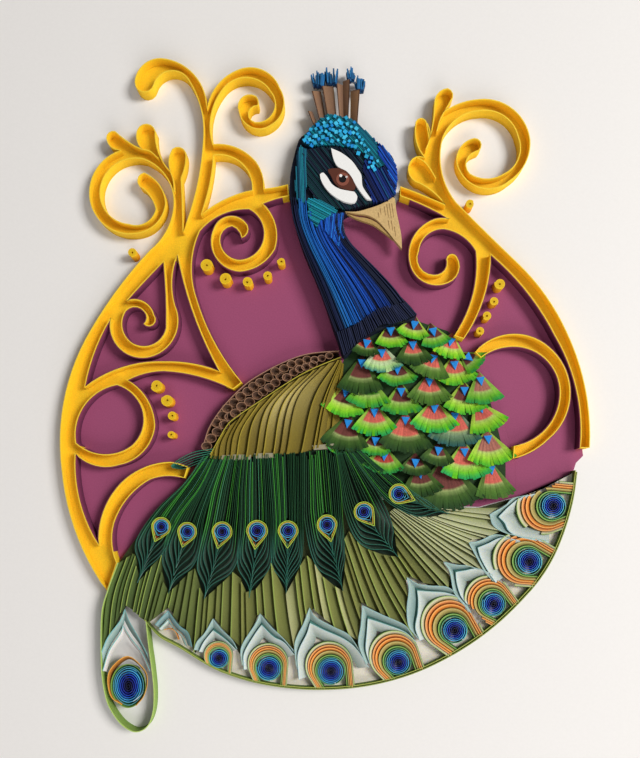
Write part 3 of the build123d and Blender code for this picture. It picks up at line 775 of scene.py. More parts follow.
# %% Layout of the coverts
coverts = [
    dict(
        foot=[(203, 456), (214, 456)], eye=(161, 527), tip=(137, 583), r=7.5,
        left=[(184, 483), (156, 510), (136, 540), (136, 562)], right=[(199, 487), (176, 518), (166, 548)],
    ),
    dict(
        foot=[(214, 456), (225, 456)], eye=(187, 532), tip=(168, 594), r=7.5,
        left=[(199, 487), (176, 518), (163, 548), (162, 575)], right=[(213, 490), (204, 520), (197, 560)],
    ),
    dict(
        foot=[(225, 456), (245, 455)], eye=(222, 532), tip=(204, 599), r=8,
        left=[(213, 490), (206, 522), (198, 556), (197, 578)], right=[(242, 490), (241, 525), (236, 566)],
    ),
    dict(
        foot=[(245, 455), (268, 454)], eye=(257, 531), tip=(249, 598), r=8.5,
        left=[(242, 490), (241, 525), (237, 560), (242, 584)], right=[(271, 490), (273, 525), (270, 566)],
    ),
    dict(
        foot=[(268, 454), (304, 452)], eye=(288, 531), tip=(286, 594), r=8,
        left=[(271, 490), (273, 525), (271, 560), (276, 582)], right=[(304, 490), (304, 525), (301, 562)],
    ),
    dict(
        foot=[(304, 452), (336, 449)], eye=(327, 525), tip=(343, 591), r=8,
        left=[(304, 490), (304, 520), (312, 558), (326, 580)], right=[(341, 485), (343, 518), (345, 556)],
    ),
    dict(
        foot=[(336, 449), (346, 448)], eye=(364, 512), tip=(398, 557), r=8,
        left=[(340, 485), (345, 514), (356, 540), (375, 552)], right=[(364, 472), (380, 495), (392, 522)],
    ),
    dict(
        foot=[(346, 448), (360, 449)], eye=(399, 494), tip=(449, 514), r=8,
        left=[(364, 474), (380, 495), (396, 508), (420, 517)], right=[(378, 465), (398, 479), (415, 493)],
    ),
]
covert_regions = []
for c in coverts:
    left, right = (curve([c["foot"][k]] + c[key] + [c["tip"]]) for k, key in enumerate(("left", "right")))
    covert_regions.append(np.vstack([left, right[::-1]]))
print("covert feathers:", len(coverts))


# %% Function for the strips of a covert
def covert(heap, c, count):
    """Strips between a feather's middle line and its two sides.

    At a share u of the way down, a strip lies at middle(u) + s(u) * (side(u) - middle(u)). s stays at its
    start value and falls to 0 just before the strip reaches the middle line, by the smooth step 3x^2 - 2x^3.
    Its foot takes the same path with a smaller start value, so its wall covers the way to the next strip.
    """
    steps, turning, clear = 40, 0.22, 1.2
    foot = (np.array(c["foot"][0], float) + c["foot"][1]) / 2
    grid = np.linspace(0, 1, steps)
    middle = along([foot, c["eye"], c["tip"]], steps)
    eye_at = grid[int(np.argmin(np.hypot(*(middle - np.array(c["eye"])).T)))]
    below = np.clip((grid - eye_at + 0.05) / 0.2, 0, 1)[:, None]
    for k, key in enumerate(("left", "right")):
        edge = along([c["foot"][k]] + c[key] + [c["tip"]], steps)
        for share in (np.arange(count) + 0.9 + random.uniform(-0.15, 0.15, count)) / count:
            share = min(share, 1.0)
            join = min(eye_at + (1 - eye_at) * (0.10 + 0.90 * share), 1.0)
            turn = np.clip((grid - (join - turning)) / turning, 0, 1)
            fall = np.where(grid < eye_at, 1.0, 1 - (3 * turn**2 - 2 * turn**3))
            rim_path = middle + (share * fall)[:, None] * (edge - middle)
            low_share = max(share - wall_reach / count, 0.02)
            foot_path = middle + (low_share * fall)[:, None] * (edge - middle)
            keep = (grid >= random.uniform(-0.04, 0.03)) & (grid <= join + 0.012)
            keep &= np.hypot(*(rim_path - np.array(c["eye"])).T) > c["r"] + clear
            bright = random.random() < 0.22
            # a few rims are painted teal, a painted glint
            glint = random.random() < 0.05
            wall = varied("#204a22" if bright else "#122b1a", 0.4) * (1 - below)
            # below the eye the right halves are painted lighter than the left ones, a painted sheen
            wall = wall + varied("#2c4438" if key == "left" else "#6f8278", 0.25) * below
            rim = varied("#3f8060" if glint else "#3c9334" if bright else "#1c4c2e", 0.3) * (1 - below)
            rim = rim + varied("#2a6a5a", 0.3) * below
            # the foot is painted darker than the wall, a painted shade
            low = wall * (0.42 + 0.4 * below)
            height = rim_top - random.uniform(0.0, 0.4)
            for a, b in stretches(keep):
                strip(
                    heap, rim_path[a:b], wall[a:b], rim[a:b], low[a:b], height, height - 1.4,
                    thick=0.18 if bright else 0.22, foot_path=foot_path[a:b]
                )


print("points in the covert outlines:", [len(region) for region in covert_regions])

# %% Cards and strips of the coverts
covert_root = [(203, 457), (262, 455), (345, 446), (356, 470), (200, 476)]
pale_gaps = [
    [(219, 455.5), (236, 454.5), (251, 455), (250, 459.5), (236, 460), (222, 460.5)],
    [(254, 453.5), (274, 453), (275, 458), (256, 458.5)],
    [(312, 445.5), (334, 443.5), (335, 448.5), (314, 450)],
]
curl_out = along([(214, 449), (195, 452), (180, 459), (171, 466)], 20)
curl_in = along([(206, 460), (194, 465), (183, 469), (172, 468)], 20)
covert_card, covert_strips = Heap(), Heap()
# the cards under the coverts are painted dark green, so that the gaps between the strips show a painted shade
plate(covert_card, covert_root, board_top + thin, board_top + 2.5, "#1d3a24")
for c, region in zip(coverts, covert_regions):
    plate(covert_card, region[::3], board_top + thin, board_top + 2.6, "#14281c")
    width = np.hypot(c["foot"][0][0] - c["foot"][1][0], 8)
    covert(covert_strips, c, int(5.5 + width / 8))
for gap in pale_gaps:
    plate(covert_card, gap, rim_top - 1.4, rim_top - 0.55, "#9c967c")
for share in np.linspace(0, 1, 6):
    # rims painted lighter than the walls, a painted highlight, over dark painted feet, a painted shade
    wall, rim = varied("#1c4434", 0.3), varied("#2f7a62", 0.4)
    strip(covert_strips, blend(curl_out, curl_in, share), wall, rim, "#0d2018", lean=2.2, thick=0.26)
print("corners of the covert strips:", covert_strips.count)

# %% Eyes of the coverts
def teardrop(c, size, point):
    """A loop round a covert's coil that comes to a point on the middle line."""
    way, side = unit(c["eye"], c["tip"])
    angles = np.radians([48, 90, 135, 180, 225, 270, 312])
    bend = [c["eye"] + size * (way * math.cos(a) + side * math.sin(a)) for a in angles]
    end = c["eye"] + way * point
    return along([end] + bend + [end], 48)


covert_coils = Heap()
for c in coverts:
    r = c["r"] - 1.0
    eye_coil(covert_coils, c["eye"], r)
    plate(covert_coils, teardrop(c, r + 0.6, r * 1.9)[:-1], board_top + 0.3, rim_top - 2.0, "#5a1f16")
    rim_path, foot_path = teardrop(c, r + 3.0, r * 2.5), teardrop(c, r + 1.8, r * 2.2)
    # the loops are painted darker towards their feet, a painted shade, and the inner strip has a lighter
    # painted rim, a painted highlight, over a dark painted foot, a painted shade
    cone(covert_coils, rim_path, foot_path, "#b9d048", "#7a9a30", "#4f6f28", depth=1.6)
    rim_path, foot_path = teardrop(c, r + 1.6, r * 2.15), teardrop(c, r + 0.9, r * 1.7)
    cone(covert_coils, rim_path, foot_path, "#d9b848", "#8a3a20", "#5a2016", top=rim_top - 0.2, depth=1.6)
    inner = teardrop(c, r + 0.6, r * 1.45)
    strip(covert_coils, inner, "#2c5a6a", "#58b0c8", "#1a2a3a", top=rim_top - 0.3, thick=0.24)
covert_coils.make("covert_eyes", quilling_paper, "royal_blue_coils", "eye_coils")
covert_card.make("covert_card_pieces", quilling_paper, "dark_green_paper", "covert_edges")
covert_strips.make("covert_green_strips", quilling_paper, "green_paper", "covert_strips")

# %% [markdown]
# ## Tail strips
# Between the coverts and the eyes the tail is filled with olive strips that fan out. Each leans to the
# left until its foot meets the next, so the tail is a row of smooth bands between thin bright rims. A
# strip is laid between two guide lines and cut where it would run into a covert or a chevron. Its rim and
# its foot are cut on their own, which gives it the slanting end of a real strip.

# %% Tail strips
tail_guides = [
    [(119, 563), (106, 600), (102, 648)], [(150, 542), (136, 590), (127, 640)],
    [(175, 558), (164, 600), (151, 645)], [(200, 572), (195, 615), (191, 662)],
    [(232, 556), (230, 615), (228, 674)], [(262, 556), (267, 620), (275, 688)],
    [(300, 556), (308, 620), (326, 690)], [(335, 556), (352, 620), (380, 686)],
    [(352, 526), (382, 600), (422, 672)], [(372, 516), (414, 580), (466, 650)],
    [(390, 512), (442, 560), (510, 620)], [(397, 507), (457, 542), (540, 586)],
    [(402, 505), (465, 529), (560, 550)], [(410, 505), (475, 513), (566, 522)],
    [(440, 507), (505, 501), (575, 480)], [(440, 505), (505, 497), (577, 470)],
]
fills = [5, 6, 5, 5, 4, 4, 5, 5, 5, 5, 5, 4, 3, 2, 1]
tail_field = [
    (117, 563), (106, 600), (100, 655), (124, 605), (147, 624), (168, 608), (194, 655), (213, 616),
    (239, 656), (260, 611), (294, 656), (309, 605), (358, 652), (362, 602), (415, 643), (406, 574),
    (462, 604), (443, 559), (494, 580), (468, 540), (516, 540), (489, 513), (524, 497), (577, 472),
    (545, 489), (521, 497), (482, 508), (440, 507), (396, 500), (345, 500), (286, 500), (200, 500),
    (140, 530),
]
blocks = covert_regions + eye_regions
blocks += [np.vstack([feather_outer, [(128, 735)]]), np.vstack([spare_outer, [(165, 660)]])]


def between(guides, fills, count, wander):
    """Lines spread between each two guide lines, each off its place by up to a part of their distance."""
    made = []
    for first, second, fill in zip(guides, guides[1:], fills):
        a, b = along(first, count), along(second, count)
        for share in (np.arange(fill) + random.uniform(-wander, wander, fill)) / fill:
            made.append(a + (b - a) * share)
    return made + [along(guides[-1], count)]


def open_runs(path):
    """First and last index of each stretch of a path that lies in the field and in no block."""
    free = inside(path, tail_field)
    for block in blocks:
        free &= ~inside(path, block)
    return stretches(free)


# the strips turn green to the left of x = 240 and pale to the right of x = 425, over so many pixels
green_from, green_over, pale_from, pale_over = 240, 100, 425, 45
lines = between(tail_guides, fills, 110, 0.3)
tail_strips = Heap()
for path, following in zip(lines, lines[1:]):
    mean_x = path[:, 0].mean()
    pale = float(np.clip((mean_x - pale_from) / pale_over, 0, 1))
    green = float(np.clip((green_from - mean_x) / green_over, 0, 1))
    plain = (1 - pale) * (1 - green)
    base_paint = varied("#6e7238", 0.2) * plain
    base_paint = base_paint + varied("#465a28", 0.18) * green + varied("#bcbf98", 0.14) * pale
    if 290 < mean_x < 400 and random.random() < 0.3:
        base_paint = varied("#a3a470", 0.1)
    # the rims are painted lighter than the walls, a painted highlight
    rim = varied("#93a850", 0.15) * (1 - pale) + varied("#c2c698", 0.12) * pale
    rim = rim if random.random() < 0.6 else base_paint * 1.25
    foot = path + (following - path) * wall_reach
    feet = open_runs(foot)
    for a, b in open_runs(path):
        shared = [(min(b, d) - max(a, c), c, d) for c, d in feet]
        if not shared or max(shared)[0] < 2:
            continue
        _, c, d = max(shared)
        count = max(12, b - a)
        rim_path, foot_path = even(path[a:b], count), even(foot[c:d], count)
        down = np.linspace(0, 1, count)[:, None]
        # the walls are painted lighter in the middle of their length, a painted sheen, and much darker at the
        # foot, a painted shade
        upper = base_paint * (0.85 + 0.35 * np.sin(math.pi * (0.15 + 0.8 * down)))
        lower = upper * np.array([0.42, 0.46, 0.28]) * (0.8 + 0.7 * pale)
        level = rim_top - random.uniform(0, 0.4)
        strip(tail_strips, rim_path, upper, rim, lower, level, level - 1.6, thick=0.2, foot_path=foot_path)
# the card under the strips is painted dark olive, so that the gaps between them show a painted shade
plate(tail_strips, tail_field, board_top + thin, rim_top - 2.6, "#3a4222")
tail_strips.make("tail_olive_strips", quilling_paper, "olive_paper", "tail_strips")

# %% [markdown]
# ## Wing
# The wing has a rim of small loose coils between two boundary strips, and below them long olive strips
# that lean like the slats of a blind.

# %% Wing coils
wing_outer = curve(
    [(204, 443), (209, 428), (219, 412), (231, 398), (246, 384), (261, 374), (278, 365), (297, 357),
     (314, 353), (339, 351)]
)
wing_inner = curve(
    [(210, 455), (226, 427), (235, 418), (254, 405), (266, 397), (284, 385), (302, 374), (320, 365.5),
     (341, 357)]
)
cups = [
    (210.7, 437.9), (217, 432), (215.7, 422.9), (223.6, 424.3), (222, 415), (229.3, 416.4), (227, 408.6),
    (235.7, 412.9), (233.6, 402.9), (241.4, 406.4), (240.7, 396.4), (249.3, 401.4), (247.5, 391),
    (257, 395), (253.5, 386.2), (260, 382), (262.5, 391.5), (269.5, 387.5), (268, 377.5), (275, 382.5),
    (275, 371.5), (280, 376.5), (286.5, 377.5), (284, 368.5), (293.5, 372), (291.5, 364), (299, 362.5),
    (305.5, 367), (307, 359.3), (314.5, 359.3), (321.5, 357.7), (329.5, 355.8), (206.5, 446), (300, 369),
    (313, 364),
]
wing_card, wing_coils, wing_edge, wing_strips = Heap(), Heap(), Heap(), Heap()
wing_card_area = np.vstack([wing_outer[::3], wing_inner[::-3]])
# the card under the coils has the dark brown of the painted feet, a painted shade
plate(wing_card, wing_card_area, board_top + thin, board_top + 0.3, "#4a3226")
turn = np.linspace(0, 2 * math.pi, 18, endpoint=False)
circle = np.stack([np.cos(turn), np.sin(turn)], 1)
# each loop's wall is painted lighter on one side than on the other, a painted light and shade
light = (0.62 + 0.42 * (circle @ np.array([0.6, 0.8])))[:, None]
for x, y in cups:
    size = 5.2 - 1.5 * max(0.0, (x - 250) / 90)
    middle = np.array([x, y]) + random.uniform(-0.4, 0.4, 2)
    squeeze = size * np.array([1.0, 0.82])
    base_middle = middle + [0.8, 1.2]
    rim_path, foot_path = middle + circle * squeeze, base_middle + circle * squeeze * 0.35
    level = rim_top - random.uniform(0.0, 1.0)
    wall = varied("#946a50", 0.14) * light
    # its foot is painted at 0.7 of the wall, a painted shade, and its rim lighter, a painted highlight
    strip(
        wing_coils, rim_path[::-1], wall[::-1], varied("#a07a60", 0.15), wall[::-1] * 0.7, level, level - 2.0,
        thick=0.2, closed=True, foot_path=foot_path[::-1]
    )
    plate(wing_coils, base_middle + circle * squeeze * 0.38, level - 2.4, level - 1.9, "#8a6a54")
# the boundary strips have lighter painted rims, a painted highlight, and dark painted feet, a painted shade
strip(wing_edge, wing_outer, "#7a5240", "#a5806a", "#4a3226", thick=0.32)
strip(wing_edge, wing_inner, "#7d742a", "#b8ac3c", "#3c3716", thick=0.32)
wing_card.make("wing_card_brown", quilling_paper, "brown_coils")
wing_coils.make("wing_loose_coils", quilling_paper, "brown_coils", "wing_coils")
wing_edge.make("wing_boundary_strips", quilling_paper, "brown_paper", "wing_edge_strip")

# %% Wing strips
wing_guides = [
    [(212, 452), (211, 455), (210, 458)], [(224, 432), (217, 446), (215, 459)],
    [(240, 416), (228, 438), (225, 459)], [(262, 401), (244, 428), (238, 458)],
    [(288, 384), (264, 412), (255, 456)], [(312, 371), (282, 404), (272, 455)],
    [(330, 363), (300, 398), (288, 454)], [(338, 360), (314, 398), (301, 453)],
    [(341, 360), (323, 402), (313, 449)], [(342, 362), (331, 400), (323, 447)],
    [(344, 362), (341, 400), (340, 446)],
]
wing_fills = [2, 2, 2, 2, 2, 2, 1, 1, 2, 2]
wing_reach, wing_steps = 0.93, 30
wing_field = [
    (211, 455), (226, 429), (254, 407), (302, 376), (344, 360), (342, 446), (322, 447), (280, 453),
    (240, 458),
]
# the card under the strips has the dark olive of the painted feet, a painted shade
plate(wing_strips, wing_field, board_top + thin, board_top + 0.3, "#3c3716")
lines = between(wing_guides, wing_fills, wing_steps, 0.28)
down = np.linspace(0, 1, wing_steps)[:, None]
for path, following in zip(lines, lines[1:]):
    halfway_x = path[wing_steps // 2, 0]
    # the pale patch in the middle of the wing is a painted sheen
    pale = math.exp(-(((halfway_x - 278) / 20) ** 2)) * np.exp(-(((down - 0.4) / 0.3) ** 2))
    wall = varied("#776619", 0.16) * (1 - pale) + varied("#b3a262", 0.08) * pale
    level = rim_top - random.uniform(0, 0.4) - (2.4 if path[-1, 0] > 322 else 0)
    rim = varied("#a08d2e", 0.15) if random.random() < 0.6 else wall * 1.1
    # the foot is painted darker than the wall, a painted shade
    low = wall * (0.62 + 0.25 * pale)
    foot_path = path + (following - path) * wing_reach
    strip(wing_strips, path, wall, rim, low, level, level - 1.4, thick=0.18, foot_path=foot_path)
wing_strips.make("wing_olive_strips", quilling_paper, "wing_olive_paper", "wing_strips")

# %% [markdown]
# ## Breast fans
# The breast is laid with fans like tiles. Each is a sector of painted paper, cut into a fringe along its
# round edge, whose narrow end lies on the card and whose fringe stands up over the next fan. On a grid
# with u across and v outwards, a point is the fan's foot + v * R(u) in the direction turned by u * half
# angle, where R grows to the sides as 1 + 0.01 u^2. The height grows with v^1.2 and falls with 0.4 u^2.

# %% Paints and layout of the fans
fan_paint = {
    "lime": ["#b8dc50", "#8ccc1c", "#3fae2c"], "green": ["#94c44a", "#5aab20", "#1f9048"],
    "bright": ["#aad450", "#5fc014", "#17a05a"], "olive": ["#6a8a3a", "#52742a", "#3c6422"],
    "dark": ["#4c6a2a", "#32501e", "#1b3c18"], "teal": ["#cfe0b4", "#b8d498", "#1f7c7c"],
    "slate": ["#7f9a7a", "#54705c", "#1f5a5c"],
}
top_paint = {"brown": "#6e3a34", "coral": "#d9695a", "red": "#b8483a", "pink": "#b07060", "none": "#4c8a28"}
fans = [
    ((417, 312), (412, 339), 33, "brown", "lime"), ((432, 319), (438, 347), 28, "brown", "green"),
    ((391, 318), (392, 348), 30, "brown", "lime"), ((369, 331), (364, 356), 29, "red", "dark"),
    ((413, 332), (415, 365), 35, "coral", "dark"), ((382, 340), (383, 372), 38, "coral", "teal"),
    ((455, 329), (447, 358), 33, "coral", "lime"), ((461, 349), (481, 366), 25, "brown", "green"),
    ((437, 346), (428, 378), 38, "coral", "olive"), ((455, 352), (458, 385), 43, "coral", "lime"),
    ((398, 357), (398, 386), 44, "brown", "green"), ((363, 350), (360, 394), 40, "brown", "dark"),
    ((431, 369), (430, 405), 44, "coral", "olive"), ((481, 368), (486, 404), 34, "pink", "green"),
    ((466, 378), (466, 414), 42, "brown", "lime"), ((370, 372), (368, 408), 42, "none", "green"),
    ((402, 379), (402, 415), 37, "brown", "green"), ((348, 380), (341, 416), 41, "brown", "lime"),
    ((436, 396), (435, 433), 49, "coral", "bright"), ((375, 400), (375, 436), 44, "coral", "bright"),
    ((478, 397), (492, 431), 37, "coral", "lime"), ((457, 404), (455, 447), 52, "coral", "slate"),
    ((407, 408), (405, 453), 50, "coral", "dark"), ((350, 411), (343, 451), 46, "brown", "dark"),
    ((489, 427), (493, 466), 46, "pink", "lime"), ((377, 429), (374, 456), 32, "brown", "green"),
    ((441, 439), (437, 466), 34, "brown", "dark"), ((466, 440), (467, 480), 48, "coral", "bright"),
    ((386, 444), (383, 474), 42, "red", "green"), ((417, 451), (415, 476), 32, "brown", "dark"),
    ((492, 458), (497, 499), 35, "coral", "olive"), ((446, 455), (448, 511), 72, "brown", "dark"),
    ((420, 462), (424, 497), 40, "brown", "dark"), ((340, 440), (332, 452), 22, "none", "green"),
]
print("fans:", len(fans))


# %% Fans
fan_lift, finger_width, widest_half, core_half = 4.4, 2.6, 0.88, 0.76
rows = np.array([0.04, 0.2, 0.4, 0.60, 0.645, 0.67, 0.75, 0.83, 0.91, 1.0])
fray = np.clip((rows - 0.67) / 0.33, 0, 1)
paint_stops = [0, 0.3, 0.61, 0.65, 0.69, 0.86, 0.96]
grid = np.arange(len(rows) * 2).reshape(len(rows), 2)
finger_top = np.stack([grid[:-1, 0], grid[:-1, 1], grid[1:, 1], grid[1:, 0]], 1)
finger_rim = np.r_[grid[:, 0], grid[::-1, 1]]
after = np.roll(finger_rim, -1)
finger_side = np.stack([finger_rim, after, after + grid.size, finger_rim + grid.size], 1)
finger_faces = np.vstack([finger_top, finger_top[:, ::-1] + grid.size, finger_side])


def fan(heap, foot, edge, width, top_colour, fringe_colours):
    """A fringed fan, finger by finger. A finger is a narrow strip of 10 rows of two points.

    The centre, where |u| < 0.76 and v < 0.63, has its own paint; the border beside it is a pale green.
    Past v = 0.67 the fingers come apart by a slit that widens outwards, and each curls its own way.
    """
    foot, edge = np.array(foot, float), np.array(edge, float)
    reach = np.hypot(*(edge - foot))
    way, side = unit(foot, edge)
    half = min(math.atan2(width * 0.64, reach * 0.92), widest_half)
    fingers = max(9, int(width / finger_width))
    border, outer, tip = (linear(code) for code in fringe_colours)
    for finger in range(fingers):
        a, b = -1 + 2 * finger / fingers, -1 + 2 * (finger + 1) / fingers
        slit = 0.05 / fingers * fray * 2
        u = np.stack([a + slit, b - slit + 0.02 * (1 - fray)], 1)
        jitter = random.uniform(-0.03, 0.03)
        radius = (rows * reach)[:, None] * (1 + 0.01 * u**2) * (1 + jitter * fray[:, None])
        turn = u * half
        xy = foot + radius[..., None] * (way * np.cos(turn)[..., None] + side * np.sin(turn)[..., None])
        curl = random.uniform(-0.3, 0.3) * fray[:, None] ** 2
        tuck = 0.06 * (finger % 2)
        z = ground_top + 0.3 + fan_lift * (rows[:, None] ** 1.2) - 0.4 * u**2 + curl + tuck
        top = np.concatenate([xy, z[..., None]], -1).reshape(-1, 3)
        light = 1 + random.uniform(-0.16, 0.16)
        core = abs((a + b) / 2) < core_half
        inner = linear(top_colour) if core else border * 0.8
        line = linear("#c9dd8c") * 0.6 + border * 0.4 if core else border
        end = tip if random.random() < 0.8 else outer
        # each finger's paint runs darker towards its foot, and its underside is painted at 0.6 of its top, a
        # painted shade
        stages = [inner * 0.8, inner, inner * 1.05, line * 0.9, border, outer * [0.8, 1.05, 0.7], end]
        paint = np.stack([np.interp(rows, paint_stops, [s[k] for s in stages]) for k in range(3)], 1)
        paint = np.repeat(paint, 2, axis=0) * light
        heap.add(np.vstack([top, top - [0, 0, 0.2]]), finger_faces, np.vstack([paint, paint * 0.6]))


breast, triangles_blue = Heap(), Heap()
breast_field = [
    (345, 356), (352, 347), (371, 333), (397, 323), (420, 318), (450, 328), (464, 346), (479, 380),
    (492, 420), (499, 450), (503, 480), (495, 496), (450, 506), (415, 492), (385, 476), (345, 462),
    (328, 430), (324, 402), (338, 372),
]
# the card under the fans is painted dark green, so that the gaps between them show a painted shade
plate(breast, breast_field, board_top + 0.01, ground_top + 0.1, "#22401c")
triangle_tip, triangle_base, triangle_half = 17, 8, 4.2
for foot, edge, width, top_colour, fringe in fans:
    fan(breast, foot, edge, width, top_paint[top_colour], fan_paint[fringe])
    if top_colour != "none":
        way, side = unit(foot, edge)
        point, base = foot + way * triangle_tip, foot + way * triangle_base
        level = ground_top + 0.3 + fan_lift * (triangle_tip / math.dist(foot, edge)) ** 1.2
        shape = [point, base + side * triangle_half, base - side * triangle_half]
        plate(triangles_blue, shape, level - 1.0, level + 0.25, "#1e8ade")
breast.make("breast_fringed_fans", gouache_paper, "lime_fans", "breast_fans")
triangles_blue.make("breast_triangles", gouache_paper, "turquoise_paper")

# %% [markdown]
# ## Neck and head
# The head and neck are covered with strips packed so tightly that only their rims show, like brush
# strokes. The strokes follow the form: down the neck, round the cheek, over the crown. A patch of them is
# a set of lines across an outline, cut where they leave it, each with its own shade and height.


# %% Strokes
stroke_height = 3.0


def stroke(heap, path, colour, top, rim=1.15, wall=0.7, base=neck_top - stroke_height):
    """One painted strip whose wall and foot are painted darker than its colour, a painted shade, and whose
    rim lighter, a painted highlight, so that only its rim shows.
    """
    strip(heap, path, colour * wall, colour * rim, colour * 0.3, top, base, thick=0.42)


def strokes(heap, outline, angle, palette, top, spacing=1.35, bow=0.0):
    """Parallel strips over an outline at an angle in degrees, bowed sideways by a part of their length."""
    outline = np.asarray(outline, float)
    turn = math.radians(angle)
    way, side = np.array([math.cos(turn), math.sin(turn)]), np.array([-math.sin(turn), math.cos(turn)])
    centre = outline.mean(0)
    across, down = (outline - centre) @ side, (outline - centre) @ way
    for offset in np.arange(across.min() + 0.4, across.max() - 0.2, spacing):
        t = np.linspace(down.min() - 2, down.max() + 2, max(6, int(np.ptp(down) / 1.0)))
        swell = bow * (1 - (t / max(abs(down.min()), down.max())) ** 2) * np.ptp(down)
        path = centre + t[:, None] * way + (offset + swell)[:, None] * side
        for a, b in stretches(inside(path, outline)):
            first = a + random.integers(0, 2)
            colour = varied(palette[random.integers(len(palette))], 0.25)
            level = top + random.uniform(-0.45, 0.25)
            stroke(heap, path[first:b], colour, level, base=top - stroke_height)


head = Heap()
head_outline = curve(
    [(299, 141), (304, 136), (311, 130), (320, 121), (330, 117), (340, 119.5), (350, 121), (358, 127),
     (370, 138), (378, 146.5), (384, 151.5), (391, 160), (395, 169), (396.5, 181), (394, 197),
     (388, 203), (372, 206), (346, 213), (342, 224), (343, 234), (350, 246), (369, 266.5), (395, 291.5),
     (416, 317), (389, 325), (360, 341), (345, 357), (339, 345), (320, 290), (302, 247), (291, 207),
     (290, 180), (294, 158)], closed=True
)
# the card under the strokes is painted dark navy, so that the gaps between them show a painted shade
plate(head, head_outline[::2], board_top + thin, neck_top - 2.4, "#12182c")
patches = [
    ([(300, 147), (305, 136), (312, 130), (320, 121), (330, 117), (340, 119.5), (350, 121), (358, 127),
      (370, 138), (380, 152), (386, 168), (378, 172), (366, 158), (352, 152), (335, 149), (318, 150)],
     46, ["#0f7888", "#0f6478", "#149098", "#0e5470"], 0.3, -0.05),
    ([(370, 138), (378, 146.5), (384, 151.5), (391, 160), (395, 169), (396.5, 181), (394, 197), (388, 203),
      (373, 206), (366, 190), (362, 172), (366, 158), (378, 172), (386, 168), (380, 152)],
     62, ["#10205c", "#14307a", "#0e1840", "#164a78"], 0.3, 0.0),
    ([(378, 146), (384, 151), (391, 160), (396, 170), (397, 182), (395, 196), (390, 190), (386, 172),
      (377, 157)],
     56, ["#1a50b4", "#1c66c4", "#1440a0"], 0.05, 0.0),
    ([(302, 152), (318, 150), (335, 149), (352, 152), (366, 158), (362, 172), (366, 190), (373, 206),
      (346, 213), (330, 210), (314, 200), (306, 186)],
     52, ["#0f1c2c", "#122a38", "#0e3a40", "#151a30"], 0.6, 0.0),
    ([(297, 158), (301, 148), (307, 152), (307, 180), (306, 206), (298, 206), (295, 190)],
     88, ["#1c7f8f", "#1a6f84", "#17506c"], 0.3, 0.0),
    ([(306, 201), (318, 202), (331, 209), (339, 214), (333, 220), (322, 223), (316, 232), (308, 218)],
     28, ["#12808c", "#126c80", "#1a8aa0"], 0.1, 0.0),
    ([(324, 221), (334, 216), (345, 214), (343, 226), (344, 240), (341, 252), (333, 244), (325, 234)],
     96, ["#1c5fc8", "#2474d4", "#1848a8"], 0.0, 0.0),
]
for outline, angle, palette, sunk, bow in patches:
    strokes(head, outline, angle, palette, neck_top - sunk, bow=bow)
print("patches of the head, from the crown to the cheek:", len(patches))

# %% Neck
neck_left = curve([(291, 200), (294, 222), (302, 247), (312, 271), (321, 292), (329, 313), (337, 334)])
neck_right = curve([(343, 216), (343, 232), (349, 245), (360, 257), (376, 273), (392, 290), (403, 304)])
zones = [0, 0.10, 0.16, 0.24, 0.50, 0.62, 0.66, 0.70, 0.82, 0.86, 1.0]
zone_paint = [
    "#0e142e", "#101c40", "#1860a0", "#125cac", "#1450b0", "#1244a4", "#0a1030", "#1242a0", "#0e2a68",
    "#101830", "#161e38",
]
neck_count, hem_count = 50, 44
for share in np.linspace(0, 1, neck_count):
    path = blend(neck_left, neck_right, share)
    colour = mix(zones, zone_paint, share)
    # about one strip in five is painted at 0.35 of its colour, a dark line standing for the painted shade in
    # the gaps
    colour = colour * (1 + random.uniform(-0.4, 0.4)) * (0.35 if random.random() < 0.2 else 1.0)
    start = random.integers(0, 6)
    shift = random.uniform(-0.5, 0.5, 2)
    wave = 0.5 * np.sin(np.linspace(0, 5, len(path)) + random.uniform(0, 6))[:, None] * [1, 0.4]
    height = neck_top - 0.3 + 0.5 * math.sin(share * 9) + random.uniform(-0.7, 0.2)
    stroke(head, (path + shift + wave)[start:], colour, height)
hem_top = curve([(337, 334), (351, 329), (361, 323), (370, 316), (380, 310), (392, 308), (405, 305)])
hem_bottom = curve([(344, 357), (352, 349), (361, 340.5), (371, 335), (381, 327), (397, 325), (416, 317)])
for share in np.linspace(0, 1, hem_count):
    a, b = (line[int(share * (len(line) - 1))] for line in (hem_top, hem_bottom))
    colour = varied("#161c34", 0.35)
    path = curve([a, b]) + random.uniform(-0.4, 0.4, 2)
    # rims painted at 1.6 and walls at 0.8 of the colour, a painted highlight and shade
    stroke(head, path, colour, neck_top + random.uniform(0, 0.5), 1.6, 0.8)
head.make("head_and_neck_strokes", gouache_paper, "blue_paper", "neck_strips", "head_strips", "neck_hem")

# %% [markdown]
# ## Face
# The eye is cut from paper: two white crescents, a brown almond, a lighter ring, a dark pupil and two
# pale flecks, one above the other in steps of 0.1 to 0.2 mm.

